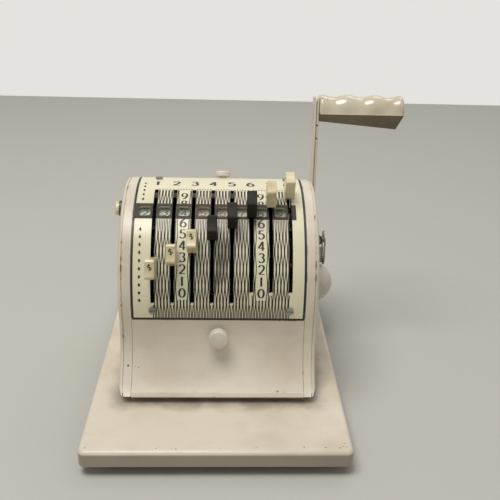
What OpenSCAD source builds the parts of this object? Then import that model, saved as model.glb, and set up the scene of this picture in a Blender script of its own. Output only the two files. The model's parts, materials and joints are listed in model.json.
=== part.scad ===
// Desk check writer: eight figure selectors under a curved keyboard, a side crank that
// lifts a platen against the type, an inked ribbon on two spools, on a hollow cast base.
// Lengths are in millimetres. X runs to the right, Y to the back, Z up.
// The modules are drawn with X = 0 in the middle of the housing, Y = 0 at the front edge
// of the base and Z = 0 on the desk, and place() then centres the whole over the desk.

/* [Base] */
// Width of the base casting
base_w = 166; // [156:1:190]
// Depth of the base casting
base_d = 240; // [228:1:270]
// Height of the base casting
base_h = 11; // [10.5:0.5:18]
// Wall of the base casting
base_wall = 4; // [3:0.25:5]
// Radius of the base's corners seen from above
base_corner_r = 4.5; // [4:0.5:12]
// Rounding of the base's upper edge
base_edge_r = 3; // [1:0.25:3.5]
// Thickness of the sheet that closes the base from below
bottom_t = 1.5; // [1:0.25:2.5]
// Height of a rubber foot
foot_h = 7; // [3:0.5:9]
// Diameter of a rubber foot
foot_d = 16; // [10:1:20]
// Distance from a foot's centre to the two base edges beside it
foot_inset = 18; // [14:1:26]

/* [Housing] */
// Outer radius of the curved keyboard panel
drum_r = 65; // [64:0.25:67]
// Distance from the base's front edge to the selector shaft
drum_y = 133; // [128:0.5:138]
// Height of the lowest type faces above the top of the base
type_up = 5.6; // [5:0.1:7.5]
// Sheet thickness of the keyboard panel and the front panel
panel_t = 2; // [1.5:0.1:2.2]
// Thickness of a cast side frame
frame_t = 5.3; // [4:0.1:7]
// Thickness of a side cover
cover_t = 3; // [2:0.25:4]
// Depth and height of the groove between a side frame and its cover
groove = 0.8; // [0.4:0.1:1.2]
// Gap between the base and the housing, where the check goes in
throat_h = 5; // [4.8:0.1:6.2]
// Angle of the keyboard panel's lower edge, measured up from the front
panel_low_a = -6.5; // [-9:0.5:-5.5]
// Angle of the ridge at the keyboard panel's upper edge
ridge_a = 100; // [99:0.5:102]
// Angle through which the front panel flares out to its lip
flare_a = 63; // [50:1:66]
// Slope of the rear lid
lid_slope = 24; // [22:0.5:25]
// Sheet thickness of the rear lid and the back cover
lid_t = 1.6; // [1.2:0.1:2]
// Distance from the selector shaft to the back of the housing
back_run = 72; // [70:1:80]
// Distance from the selector shaft to the front edge of the frames' feet
foot_run = 17; // [14:1:22]

/* [Keyboard] */
// Distance from one selector to the next
pitch = 12.7; // [12.5:0.05:12.9]
// Margin of the keyboard panel on each side of the room for its selectors
panel_margin = 5.7; // [5.2:0.1:8]
// Offset of the row of selectors from the middle of the housing
row_x = 1.8; // [0:0.1:2.4]
// Width of a keyboard slot
slot_w = 2.5; // [2.3:0.1:2.9]
// Angle between two neighbouring digits
step_a = 6.81; // [6.6:0.01:6.9]
// Angle of the digit zero
zero_a = 10.75; // [10:0.05:11.5]
// Angle of the row of windows
window_a = 59.8; // [59:0.1:60.5]
// Width of a window
window_w = 7.8; // [6:0.1:8.4]
// Height of a window along the panel
window_h = 8.4; // [6:0.1:9]
// Radius of a window's corners
window_r = 1.8; // [1:0.1:2.5]
// Height of the dark band around the windows
bezel_h = 12; // [11:0.25:13]
// Thickness of the band around the windows
bezel_t = 0.5; // [0.3:0.05:0.8]

/* [Selectors] */
// Diameter of the selector shaft
shaft_d = 8; // [6:0.5:9]
// Outer diameter of a selector's hub
hub_d = 18; // [14:0.5:20]
// Thickness of a lever blade
blade_t = 1.6; // [1.2:0.1:1.8]
// Width of a lever blade along its slot
blade_w = 5.6; // [4:0.1:5.8]
// Angle from a digit up to the blade that points at it
blade_up_a = 3.4; // [3:0.1:3.8]
// Gap between the keyboard panel and the strips of numerals behind the windows
strip_gap = 2.5; // [2.5:0.1:4]
// Width of the strip of numerals
strip_w = 8; // [6:0.25:8.4]
// Drop from the strips of numerals to the circle that the faces of the type run on
type_drop = 8.1; // [7.9:0.1:9.5]
// Width of the type rim
type_w = 7; // [5:0.25:8]
// Radius of the detent disc
detent_r = 22; // [18:0.5:24]
// Thickness of a selector's webs
web_t = 1.5; // [1:0.1:2]

/* [Keys] */
// Width of a key cap
key_w = 6.4; // [5:0.1:8]
// Height of a key cap above the panel's surface
key_out = 17.5; // [14:0.5:20]
// Gap between the panel and the underside of a key cap
key_gap = 2.2; // [1.8:0.1:3]
// Depth of a blade's seat in its key cap
key_seat = 6; // [4:0.5:8]
// Wall of a key cap above its blade
key_back = 0.9; // [0.8:0.1:1.5]

/* [Crank] */
// Distance from the selector shaft back to the crank shaft
crank_back = 27; // [24:0.5:30]
// Distance from the selector shaft down to the crank shaft
crank_down = 26; // [25:0.5:28]
// Diameter of the crank shaft
crank_d = 10; // [8:0.5:12]
// Length of the arm from the crank shaft to the grip
arm_len = 136; // [120:1:150]
// Width of the arm
arm_w = 15; // [11:0.5:18]
// Thickness of the arm
arm_t = 3.2; // [2.5:0.1:4]
// Gap between the side cover and the arm
arm_gap = 3; // [2.8:0.1:4]
// Angle that the arm leans back at rest
arm_lean = 8.65; // [6:0.05:12]
// Length of the grip
grip_len = 61.8; // [55:0.1:75]
// Depth of the grip from front to back
grip_d = 21; // [18:0.5:24]
// Height of the grip above its seam
grip_up = 13.5; // [12:0.5:16]
// Height of the finger waves on the grip
grip_wave = 1.8; // [0.5:0.1:2.2]
// Radius of the domed hub cap
dome_r = 15.4; // [12:0.1:16]

/* [Platen] */
// Travel of the platen
platen_lift = 4; // [3.8:0.1:4.2]
// Depth of the platen from front to back
platen_w = 8; // [6:0.5:9]

/* [Ribbon] */
// Distance between the ribbon's edge and a side frame
ribbon_margin = 8.7; // [8:0.1:12]
// Thickness of the inked ribbon
ribbon_t = 0.3; // [0.2:0.05:0.3]
// Diameter of a spool's shaft
spool_shaft_d = 5; // [4:0.5:6]
// Diameter of the wound ribbon on the rear spool
rear_roll_d = 18; // [14:0.5:20]
// Diameter of the wound ribbon on the front spool
front_roll_d = 16; // [12:0.5:16]
// Diameter of the ribbon guide rods
guide_d = 4; // [3:0.25:5]

/* [Knobs] */
// Diameter of the push button on the front panel
button_d = 12.5; // [10:0.5:15]
// Travel of the push button
button_travel = 2.5; // [1:0.25:3]
// Diameter of the knob on the rear lid
top_knob_d = 11; // [9:0.5:14]
// Diameter of the knurled part of the ribbon knob
ribbon_knob_d = 12; // [10:0.5:14]
// Length of the knurled part of the ribbon knob
ribbon_knob_len = 10.7; // [8:0.1:14]

/* [Hidden] */

// Radial clearance of a turning fit, and the gap beside a fixed part
run_c = 0.05;
side_c = 0.2;
// Number of selectors, how many of them have an extra step below zero, and the digit
// that each one points at
count = 8;
deep_count = 5;
shown = [2, 3, 4, 5, 6, 7, 8, 9];
// Heights of the main levels
base_top = foot_h + base_h;
panel_in_r = drum_r - panel_t;
strip_r = panel_in_r - strip_gap;
type_r = strip_r - type_drop;
drum_z = base_top + type_up + type_r;
throat_z = base_top + throat_h;
// Half widths: the panel, the frames' inner and outer faces and the covers' outer faces
half_panel = count * pitch / 2 + panel_margin;
frame_in = half_panel + side_c;
frame_out = frame_in + frame_t;
cover_out = frame_out + cover_t;
// Points of the side outline, as [Y, Z]
panel_low = polar(drum_r, panel_low_a);
flare_from = panel_low_a + 180;
flare_to = flare_from + flare_a;
flare_r = (panel_low[1] - throat_z) / (sin(flare_from) - sin(flare_to));
flare_c = polar(drum_r + flare_r, panel_low_a);
lip = about(flare_c, flare_r, flare_to);
ridge = polar(drum_r, ridge_a);
back_y = drum_y + back_run;
lid_end = [back_y, ridge[1] - (back_y - ridge[0]) * tan(lid_slope)];
heel_y = drum_y + foot_run;
// Rear lid: its hinge barrel lies under its rear edge
barrel_d = 7;
lid_pin_d = 3;
lid_len = (back_y - barrel_d - ridge[0]) / cos(lid_slope);
lid_hinge = lid_point(lid_len, -barrel_d / 2);
lid_gap = 0.5;
// Crank: its shaft's centre and the faces along it
crank_y = drum_y + crank_back;
crank_z = drum_z - crank_down;
arm_in = cover_out + arm_gap;
arm_out = arm_in + arm_t;
hub_r = 13;
grip_in = arm_out + side_c;
grip_end = grip_in + grip_len;
bushing_d = crank_d + 4;
latch_off = 9;
latch_t = 2.5;
latch_r = 8;
latch_low = 22.5;
latch_high = 33.5;
latch_window_w = 7.2;
latch_window_h = 7.8;
latch_posts = [18.2, 34.5];
latch_post_d = 5;
// Height of the hub cap's cylindrical rim
hub_rim = 2;
// Cam on the crank's inner end, and the follower shelf of the platen above it
cam_x = frame_in - 6;
cam_t = 3.8;
cam_base_r = 12;
cam_lobe_r = 4;
cam_lobe_off = cam_base_r + platen_lift - cam_lobe_r;
cam_lobe_a = 20;
shelf_gap = 0.3;
shelf_t = 3;
strap_in = cam_x - 0.2;
strap_out = cam_x + cam_t + 0.2;
platen_bar_h = 6.8;
platen_pad_h = 1.2;
// Ribbon: spool centres, guide rods and the flat run under the type
// The rear spool lies just past the selectors' travel, the front one outside the type
ribbon_w = 2 * (frame_in - ribbon_margin);
spool_clear = 1;
travel_end_a = window_a + 10.5 * step_a;
rear_spool_in = 12;
rear_spool_off = strip_r - rear_spool_in;
rear_spool_c = polar(rear_spool_off,
    travel_end_a + asin((rear_roll_d / 2 + spool_clear) / rear_spool_off));
front_spool_c = polar(type_r + spool_clear + front_roll_d / 2, -38);
ribbon_z = drum_z - type_r - 0.5;
guide_gap = 0.15;
guide_z = ribbon_z + ribbon_t / 2 + guide_gap + guide_d / 2;
front_guide_run = 29;
front_guide_y = drum_y - front_guide_run;
rear_guide_in = 3.4;
rear_guide_y = drum_y + type_r - rear_guide_in;
roll_gap = 0.4;
// Detent
detent_a = 170;
detent_bar_in = 12.4;
detent_bar_c = polar(type_r - detent_bar_in, 165);
detent_bar_s = 6;
// Screws
screw_c = 0.1;
panel_screw_d = 3;
panel_screw_head_d = 5;
panel_screw_head_h = 1.2;
panel_screw_a = [0, 95.5];
panel_screw_x = [slot_x(0), slot_x(count - 1)];
cover_screw_d = 4;
cover_screw_head_d = 8;
cover_screw_head_h = 1.6;
cover_screw_at = [[drum_y - 40, drum_z], [back_y - 14, drum_z + 10], [back_y - 14, throat_z + 8]];
plate_screw_d = 3;
plate_screw_in = 11;
plate_screw_end = 40;
plate_screw_at = [for (x = [-1, 1], y = [plate_screw_end, base_d / 2, base_d - plate_screw_end])
    [x * (base_w / 2 - plate_screw_in), y]];
// Push button
button_down_a = 14.2;
button_a = flare_from + button_down_a;
button_stem_d = 6;
button_head_h = 6.5;
button_gap = button_travel + 0.5;
button_stem_len = button_travel + 6.5;
// Colours of the key caps
cream = "#ddd0a4";
dark = "#33282a";
// Facets of the grip around and along it, its seam below the arm's end and its underside
grip_sides = 14;
grip_steps = 24;
grip_seam = 4.5;
grip_under = 10.7;
grip_taper = 5;
grip_slant = 4;
// Stop pin behind the arm
stop_d = 6;
stop_up = 50;
// Distance of the lid's knob from the ridge
top_knob_back = 7;
// Ribbon knob
knob_cap_t = 3.3;
knob_cap_d = 10.6;
knob_gap = 1;

// Centre of the finished part: midway between the base's left edge and the grip's end,
// and the middle of the base's depth
centre_x = (grip_end - base_w / 2) / 2;
centre_y = base_d / 2;

// A point [Y, Z] at radius r and angle a about a centre; 0 degrees is the front, 90 is up
function about(c, r, a) = [c[0] - r * cos(a), c[1] + r * sin(a)];
function polar(r, a) = about([drum_y, drum_z], r, a);
// A point [Y, Z] on the rear lid, d behind the ridge and h above its outer face
function lid_point(d, h) = [ridge[0] + d * cos(lid_slope) + h * sin(lid_slope),
    ridge[1] - d * sin(lid_slope) + h * cos(lid_slope)];
// X of selector k, counted from 0 at the left, and of the window beside it
function slot_x(k) = row_x + (k - (count - 1) / 2) * pitch;
function window_x(k) = slot_x(k) - pitch / 2;
// Angle of a digit, and the steps that a selector has below zero
function digit_a(d) = zero_a + d * step_a;
function extra(k) = k < deep_count ? 1 : 0;
// Wall of the brass spacers at the ends of the selector shaft
spacer_wall = 1.5;
// Reach of a selector's hub on the two sides of its blade, and the gap to the next hub
hub_right = 1.5;
hub_gap = 0.3;
hub_left = pitch - hub_right - hub_gap;
// Half of the blade's width as an angle at the panel
blade_half_a = atan(blade_w / 2 / drum_r);
slot_clear_a = 0.7;

module place() translate([-centre_x, -centre_y, 0]) children();

// Ring segment about an axis along X through the point c = [Y, Z]
module arc_x(c, r1, r2, x1, x2, a1, a2, fn = 96)
    translate([0, c[0], c[1]]) rotate([90, 0, -90]) rotate([0, 0, a1])
        rotate_extrude(angle = a2 - a1, $fn = fn)
            translate([r1, -x2]) square([r2 - r1, x2 - x1]);

// Cylinder along X through the point c = [Y, Z]
module rod_x(c, d, x1, x2, fn = 48)
    translate([x1, c[0], c[1]]) rotate([0, 90, 0]) cylinder(d = d, h = x2 - x1, $fn = fn);

// A flat outline in [Y, Z] drawn out from x1 to x2
module plate_x(x1, x2)
    translate([x1, 0, 0]) rotate([90, 0, 90]) linear_extrude(height = x2 - x1) children();

// Frame at angle a about c: local x points outwards, y along the rising angle, z to the left
module at_angle(c, a, x = 0)
    translate([x, c[0], c[1]]) rotate([90, 0, -90]) rotate([0, 0, a]) children();

// Rectangle with rounded corners, centred
module round_rect(w, h, r) {
    square([w - 2 * r, h], center = true);
    square([w, h - 2 * r], center = true);
    for (i = [-1, 1], j = [-1, 1])
        translate([i * (w / 2 - r), j * (h / 2 - r)]) circle(r = r, $fn = 32);
}

// Outline of the housing seen from the side, pulled in by inset: the drum, the rear body
// and the flared front, all cut off along the slope of the lid
module side_outline(inset = 0) {
    floor_z = throat_z + inset;
    difference() {
        union() {
            translate([drum_y, drum_z]) circle(r = drum_r - inset, $fn = 180);
            polygon([[drum_y - 5, floor_z], [heel_y + inset, floor_z],
                [heel_y + inset, base_top], [back_y - inset, base_top],
                [back_y - inset, lid_end[1] + 10], [ridge[0], ridge[1] - 2],
                [drum_y - 5, drum_z]]);
            difference() {
                polygon([[drum_y + 5, drum_z], polar(drum_r - inset, panel_low_a), flare_c,
                    [lip[0], floor_z], [heel_y - 1, floor_z]]);
                translate(flare_c) circle(r = flare_r + inset, $fn = 180);
            }
        }
        polygon([lid_point(-10, -inset), lid_point(lid_len, -inset),
            [back_y - inset, lid_end[1] - barrel_d], [back_y + 20, lid_end[1] - barrel_d],
            [back_y + 20, ridge[1] + 20], lid_point(-10, 20)]);
        polygon([[lip[0] - 20, 0], [lip[0] - 20, floor_z], [heel_y + inset, floor_z],
            [heel_y + inset, base_top], [back_y + 20, base_top], [back_y + 20, 0]]);
    }
}

// ---- Base ----

module base_blank() {
    // One corner of the casting with its rounded upper edge
    module corner() {
        cylinder(r = base_corner_r, h = base_h - base_edge_r, $fn = 32);
        translate([0, 0, base_h - base_edge_r]) rotate_extrude($fn = 32)
            translate([base_corner_r - base_edge_r, 0]) intersection() {
                circle(r = base_edge_r, $fn = 32);
                square(base_edge_r);
            }
        cylinder(r = base_corner_r - base_edge_r, h = base_h, $fn = 32);
    }
    hull()
        for (x = [-1, 1], y = [base_corner_r, base_d - base_corner_r])
            translate([x * (base_w / 2 - base_corner_r), y, foot_h]) corner();
}

module base_casting() color("#cfc6b4") difference() {
    union() {
        difference() {
            base_blank();
            translate([-base_w / 2 + base_wall, base_wall, 0])
                cube([base_w - 2 * base_wall, base_d - 2 * base_wall, base_top - base_wall]);
        }
        for (p = plate_screw_at)
            translate([p[0], p[1], foot_h + bottom_t])
                cylinder(d = 9, h = base_h - bottom_t - 1, $fn = 32);
    }
    for (p = plate_screw_at)
        translate([p[0], p[1], 0])
            cylinder(d = plate_screw_d + 2 * screw_c, h = foot_h + base_h - base_wall, $fn = 32);
    translate([-strap_out + 3, drum_y - platen_w / 2 - 0.4, 0])
        cube([2 * strap_out - 2.4, platen_w + 0.8, base_top + 1]);
}

module bottom_plate() color("#8d8a84") difference() {
    translate([-base_w / 2 + base_wall + side_c, base_wall + side_c, foot_h])
        cube([base_w - 2 * (base_wall + side_c), base_d - 2 * (base_wall + side_c), bottom_t]);
    for (p = plate_screw_at)
        translate([p[0], p[1], 0])
            cylinder(d = plate_screw_d + 2 * screw_c, h = base_top, $fn = 32);
}

module bottom_plate_screws() color("#9a9a98")
    for (p = plate_screw_at) translate([p[0], p[1], foot_h]) {
        cylinder(d = plate_screw_d, h = base_h - base_wall - 1, $fn = 32);
        translate([0, 0, -1.2]) cylinder(d = 6, h = 1.2, $fn = 32);
    }

module rubber_feet() color("#26241f")
    for (x = [-1, 1], y = [foot_inset, base_d - foot_inset])
        translate([x * (base_w / 2 - foot_inset), y, 0])
            cylinder(d1 = foot_d - 2, d2 = foot_d, h = foot_h, $fn = 48);

// ---- Housing ----

// Bores that both frames have: selector shaft, spools, lid pin and cover screws
module frame_bores() {
    x = cover_out + 1;
    rod_x([drum_y, drum_z], shaft_d + 2 * run_c, -x, x);
    rod_x(rear_spool_c, spool_shaft_d + 2 * run_c, -x, x);
    rod_x(front_spool_c, spool_shaft_d + 2 * run_c, -x, x);
    rod_x(lid_hinge, lid_pin_d + 2 * run_c, -x, x);
    for (p = cover_screw_at) rod_x(p, cover_screw_d + 2 * screw_c, -x, x);
}

module side_frame(side) color("#d2c9b8") difference() {
    plate_x(side > 0 ? frame_in : -frame_out, side > 0 ? frame_out : -frame_in) side_outline();
    frame_bores();
    if (side > 0) rod_x([crank_y, crank_z], bushing_d, 0, cover_out);
}

module left_side_frame() side_frame(-1);
module right_side_frame() side_frame(1);

// A side cover is a plate with a narrower step next to the frame, which leaves the groove
module side_cover(side) color("#d6cdbd") difference() {
    union() {
        a = frame_out;
        b = frame_out + groove;
        c = cover_out;
        plate_x(side > 0 ? a : -b, side > 0 ? b : -a) side_outline(groove);
        plate_x(side > 0 ? b : -c, side > 0 ? c : -b) side_outline();
    }
    for (p = cover_screw_at)
        rod_x(p, cover_screw_d + 2 * screw_c, -cover_out - 1, cover_out + 1);
    if (side > 0) rod_x([crank_y, crank_z], bushing_d, 0, cover_out + 1);
    if (side < 0) rod_x(rear_spool_c, spool_shaft_d + 1, -cover_out - 1, 0);
}

module left_side_cover() side_cover(-1);
module right_side_cover() side_cover(1);

module side_cover_screws() color("#b4ada0")
    for (p = cover_screw_at) for (s = [-1, 1]) {
        x = s * cover_out;
        rod_x(p, cover_screw_head_d, min(x, x + s * cover_screw_head_h),
            max(x, x + s * cover_screw_head_h));
        rod_x(p, cover_screw_d, min(x, s * (frame_in + 1)), max(x, s * (frame_in + 1)));
    }

// Slots of the keyboard and the openings of its windows
module slot_cuts()
    for (k = [0 : count - 1])
        arc_x([drum_y, drum_z], panel_in_r - 5, drum_r + 5, slot_x(k) - slot_w / 2,
            slot_x(k) + slot_w / 2,
            digit_a(-extra(k)) + blade_up_a - blade_half_a - slot_clear_a,
            digit_a(9) + blade_up_a + blade_half_a + slot_clear_a);

module window_cuts(grow = 0)
    for (k = [0 : count - 1])
        at_angle([drum_y, drum_z], window_a, window_x(k))
            translate([panel_in_r - 5, 0, 0]) rotate([90, 0, 90]) linear_extrude(height = 12)
                round_rect(window_h + 2 * grow, window_w + 2 * grow, window_r);

module panel_screw_bores(angles = panel_screw_a)
    for (x = panel_screw_x, a = angles)
        at_angle([drum_y, drum_z], a, x) rotate([0, 90, 0])
            translate([0, 0, strip_r - 3])
                cylinder(d = panel_screw_d + 2 * screw_c, h = 10, $fn = 32);

module keyboard_panel() color("#e6dfbe") difference() {
    arc_x([drum_y, drum_z], panel_in_r, drum_r, -half_panel, half_panel, panel_low_a, ridge_a,
        180);
    slot_cuts();
    window_cuts();
    panel_screw_bores();
}

module window_bezel() color("#37291f") difference() {
    half_a = bezel_h / 2 / drum_r * 180 / PI;
    arc_x([drum_y, drum_z], drum_r, drum_r + bezel_t, -half_panel + 0.5,
        slot_x(count - 1) + 4, window_a - half_a, window_a + half_a, 180);
    slot_cuts();
    window_cuts();
}

module window_lenses() color([0.85, 0.9, 0.88, 0.4]) {
    half_a = (window_h / 2 + 1) / drum_r * 180 / PI;
    for (k = [0 : count - 1])
        arc_x([drum_y, drum_z], panel_in_r - 0.8, panel_in_r, window_x(k) - window_w / 2 - 0.8,
            window_x(k) + window_w / 2 + 0.8, window_a - half_a, window_a + half_a);
}

module panel_screws() color("#8e8c86")
    for (x = panel_screw_x, a = panel_screw_a)
        at_angle([drum_y, drum_z], a, x) rotate([0, 90, 0]) {
            translate([0, 0, panel_in_r - 1.9]) cylinder(d = panel_screw_d, h = 4, $fn = 32);
            difference() {
                translate([0, 0, drum_r])
                    cylinder(d = panel_screw_head_d, h = panel_screw_head_h, $fn = 32);
                translate([-panel_screw_head_d, -0.4, drum_r + 0.6])
                    cube([2 * panel_screw_head_d, 0.8, 2]);
            }
        }

module front_panel() color("#d8cfbe") difference() {
    union() {
        arc_x(flare_c, flare_r, flare_r + panel_t, -half_panel, half_panel,
            flare_from + 0.3, flare_to, 180);
        plate_x(-half_panel, half_panel)
            polygon([lip, [lip[0] + 12, throat_z], [lip[0] + 12, throat_z + panel_t],
                [lip[0] + 1.5, throat_z + panel_t]]);
    }
    at_angle(flare_c, button_a) rotate([0, 90, 0])
        cylinder(d = button_stem_d + 0.4, h = 2 * flare_r, $fn = 32);
}

module back_cover() color("#cfc6b4")
    plate_x(-half_panel, half_panel)
        polygon([[back_y - lid_t, base_top], [back_y, base_top],
            [back_y, lid_hinge[1] - barrel_d / 2 - 1],
            [back_y - lid_t, lid_hinge[1] - barrel_d / 2 - 1]]);

module crossbar(screw_a, a1, a2) color("#8a8983") difference() {
    arc_x([drum_y, drum_z], strip_r + 0.6, panel_in_r, -frame_in, frame_in, a1, a2);
    panel_screw_bores([screw_a]);
}

module lower_crossbar() crossbar(panel_screw_a[0], panel_screw_a[0] - 5, panel_screw_a[0] + 3);
module upper_crossbar() crossbar(panel_screw_a[1], panel_screw_a[1] - 4, ridge_a - 0.7);

// ---- Selectors ----

module selector_shaft() color("#9b9b99")
    rod_x([drum_y, drum_z], shaft_d, -frame_out, frame_out);

module shaft_spacers() color("#b08d3e") difference() {
    union() {
        rod_x([drum_y, drum_z], shaft_d + 2 * spacer_wall, -frame_in, slot_x(0) - hub_left - hub_gap);
        rod_x([drum_y, drum_z], shaft_d + 2 * spacer_wall, slot_x(count - 1) + hub_right + hub_gap, frame_in);
    }
    rod_x([drum_y, drum_z], shaft_d, -cover_out, cover_out);
}

// Figure segment of selector k: hub, lever blade, numeral strip, type rim and detent disc,
// drawn with the lever at the digit that it shows
module selector(k) color("#a7a49b") {
    c = [drum_y, drum_z];
    d = shown[k];
    x = slot_x(k);
    wx = window_x(k);
    own_a = digit_a(d);
    strip_a1 = window_a + (d - 9.5) * step_a;
    strip_a2 = window_a + (d + 0.5 + extra(k)) * step_a;
    type_a1 = -90 + (d - 9.5) * step_a;
    type_a2 = -90 + (d + 0.5 + extra(k)) * step_a;
    detent_a1 = detent_a + (d - 9.5) * step_a;
    detent_a2 = detent_a + (d + 0.5 + extra(k)) * step_a;
    difference() {
        union() {
            rod_x(c, hub_d, x - hub_left, x + hub_right);
            at_angle(c, own_a + blade_up_a, x)
                translate([hub_d / 2 - 2, -blade_w / 2, -blade_t / 2])
                    cube([drum_r + key_gap + key_seat - hub_d / 2 + 2, blade_w, blade_t]);
            arc_x(c, strip_r - 2, strip_r, wx - strip_w / 2, wx + strip_w / 2,
                strip_a1, strip_a2);
            arc_x(c, hub_d / 2 - 1, strip_r - 1, wx - web_t / 2, wx + web_t / 2,
                strip_a1, strip_a2);
            arc_x(c, type_r - 6, type_r - 1, wx - type_w / 2, wx + type_w / 2,
                type_a1, type_a2);
            arc_x(c, hub_d / 2 - 1, type_r - 3, wx - web_t / 2, wx + web_t / 2,
                type_a1, type_a2);
            for (n = [0 : 9])
                arc_x(c, type_r - 1.5, type_r, wx - type_w / 2 + 1, wx + type_w / 2 - 1,
                    -90 + (d - n - 0.3) * step_a, -90 + (d - n + 0.3) * step_a);
            arc_x(c, hub_d / 2 - 1, detent_r, x - blade_t / 2, x + blade_t / 2,
                detent_a1, detent_a2);
        }
        rod_x(c, shaft_d + 2 * run_c, x - pitch, x + pitch);
        for (n = [-extra(k) : 9])
            rod_x(polar(detent_r + 0.4, detent_a + (d - n) * step_a), 1.6, x - 1, x + 1, 16);
    }
}

module selector_1() selector(0);
module selector_2() selector(1);
module selector_3() selector(2);
module selector_4() selector(3);
module selector_5() selector(4);
module selector_6() selector(5);
module selector_7() selector(6);
module selector_8() selector(7);

// Key cap of selector k: a leaning block with a seat for the blade
module key(k, tint) color(tint)
    at_angle([drum_y, drum_z], digit_a(shown[k]), slot_x(k)) difference() {
        r1 = drum_r + key_gap;
        r2 = drum_r + key_out;
        low_y = -6;
        top_y = r1 * tan(blade_up_a) + blade_w / 2 + key_back;
        translate([0, 0, -key_w / 2]) linear_extrude(height = key_w)
            polygon([[r1, low_y + 1.5], [r1 + 2, low_y], [r2 - 1.2, low_y], [r2, low_y + 1.2],
                [r2, top_y - 2.2], [r2 - 1.2, top_y - 1], [r1 + 2, top_y], [r1, top_y - 0.5]]);
        rotate([0, 0, blade_up_a])
            translate([0, -blade_w / 2 - run_c, -blade_t / 2 - run_c])
                cube([r1 + key_seat + run_c, blade_w + 2 * run_c, blade_t + 2 * run_c]);
    }

module key_1() key(0, cream);
module key_2() key(1, cream);
module key_3() key(2, cream);
module key_4() key(3, dark);
module key_5() key(4, dark);
module key_6() key(5, dark);
module key_7() key(6, cream);
module key_8() key(7, cream);

module detent_bar() color("#7d7c78")
    plate_x(-frame_in, frame_in)
        translate(detent_bar_c) square(detent_bar_s, center = true);

// One leaf finger a selector, from the bar to just clear of its detent disc
module detent_springs() color("#a9a8a4") {
    tip = polar(detent_r + 0.3, detent_a);
    root_z = detent_bar_c[1] - detent_bar_s / 2;
    for (k = [0 : count - 1])
        plate_x(slot_x(k) - 2, slot_x(k) + 2)
            polygon([[tip[0], tip[1] - 1], [tip[0] + 0.6, tip[1] - 1.4],
                [detent_bar_c[0] - 1, root_z - 0.6], [detent_bar_c[0] + 3, root_z - 0.6],
                [detent_bar_c[0] + 3, root_z], [detent_bar_c[0] - 1.2, root_z],
                [tip[0] + 0.3, tip[1] + 0.2]]);
}

// ---- Crank ----

module crank_shaft() color("#8b8b88") {
    c = [crank_y, crank_z];
    rod_x(c, crank_d, cam_x, arm_out + dome_r / 2);
    rod_x(c, 2 * cam_base_r, cam_x, cam_x + cam_t);
    plate_x(cam_x, cam_x + cam_t) hull() {
        translate([crank_y, crank_z]) circle(r = cam_lobe_r, $fn = 32);
        translate([crank_y + cam_lobe_off * cos(cam_lobe_a),
            crank_z + cam_lobe_off * sin(cam_lobe_a)]) circle(r = cam_lobe_r, $fn = 32);
    }
}

module crank_bushing() color("#b08d3e") difference() {
    rod_x([crank_y, crank_z], bushing_d, frame_in, cover_out + 0.5);
    rod_x([crank_y, crank_z], crank_d + 2 * run_c, 0, cover_out + 2);
}

// The arm's own frame: local y to the back, z along the arm
module on_arm(x) translate([x, crank_y, crank_z]) rotate([-arm_lean, 0, 0]) children();

module crank_arm() color("#cbbfae") difference() {
    on_arm(arm_in) rotate([90, 0, 90]) linear_extrude(height = arm_t) {
        circle(r = hub_r, $fn = 64);
        translate([-arm_w / 2, 0]) square([arm_w, arm_len + 4]);
        translate([0, arm_len + 4]) intersection() {
            circle(d = arm_w, $fn = 48);
            translate([-arm_w / 2, -1]) square([arm_w, 4]);
        }
    }
    rod_x([crank_y, crank_z], crank_d + 2 * run_c, 0, grip_end);
}

module hub_cap() color("#e4ddd0") difference() {
    union() {
        rod_x([crank_y, crank_z], 2 * dome_r, arm_out, arm_out + hub_rim, 64);
        translate([arm_out + hub_rim, crank_y, crank_z]) sphere(r = dome_r, $fn = 64);
    }
    translate([-grip_end, 0, 0]) cube([grip_end + arm_out, base_d, 2 * drum_z]);
    rod_x([crank_y, crank_z], crank_d + 2 * run_c, 0, arm_out + dome_r / 2 + run_c);
}

// Grip: one closed skin lofted along X, round above its seam and tapered below it
function grip_top(u) = grip_up - grip_seam - grip_wave * (1 - cos(360 * 3 * u)) / 2;
function grip_end_shrink(u) = 1 - 0.12 * pow(abs(2 * u - 1), 8);
function grip_ring(u) = [
    for (i = [0 : grip_sides])
        let (a = 180 * i / grip_sides)
        [grip_d / 2 * cos(a), -grip_seam + (grip_top(u) + grip_seam) * pow(sin(a), 0.8)]
            * grip_end_shrink(u),
    [-grip_d / 8, -grip_under - grip_taper * u] * grip_end_shrink(u),
    [grip_d / 5, -grip_under - grip_taper * u] * grip_end_shrink(u)];
// The keel is shorter than the top, so the grip's end slants inwards below the seam
function grip_x(u, z) = grip_in + (grip_len - (z < -grip_seam - 1 ? grip_slant : 0)) * u;
module hand_grip() color("#e3d6b4")
    on_arm(0) translate([0, 0, arm_len]) {
        n = grip_sides + 3;
        points = [for (j = [0 : grip_steps]) let (u = j / grip_steps)
            for (p = grip_ring(u)) [grip_x(u, p[1]), p[0], p[1]]];
        walls = [for (j = [0 : grip_steps - 1], i = [0 : n - 1])
            let (i2 = (i + 1) % n)
            each [[j * n + i, j * n + i2, (j + 1) * n + i2],
                [j * n + i, (j + 1) * n + i2, (j + 1) * n + i]]];
        near = [for (i = [0 : n - 1]) n - 1 - i];
        far = [for (i = [0 : n - 1]) grip_steps * n + i];
        polyhedron(points = points, faces = concat(walls, [near, far]), convexity = 4);
    }

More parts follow.
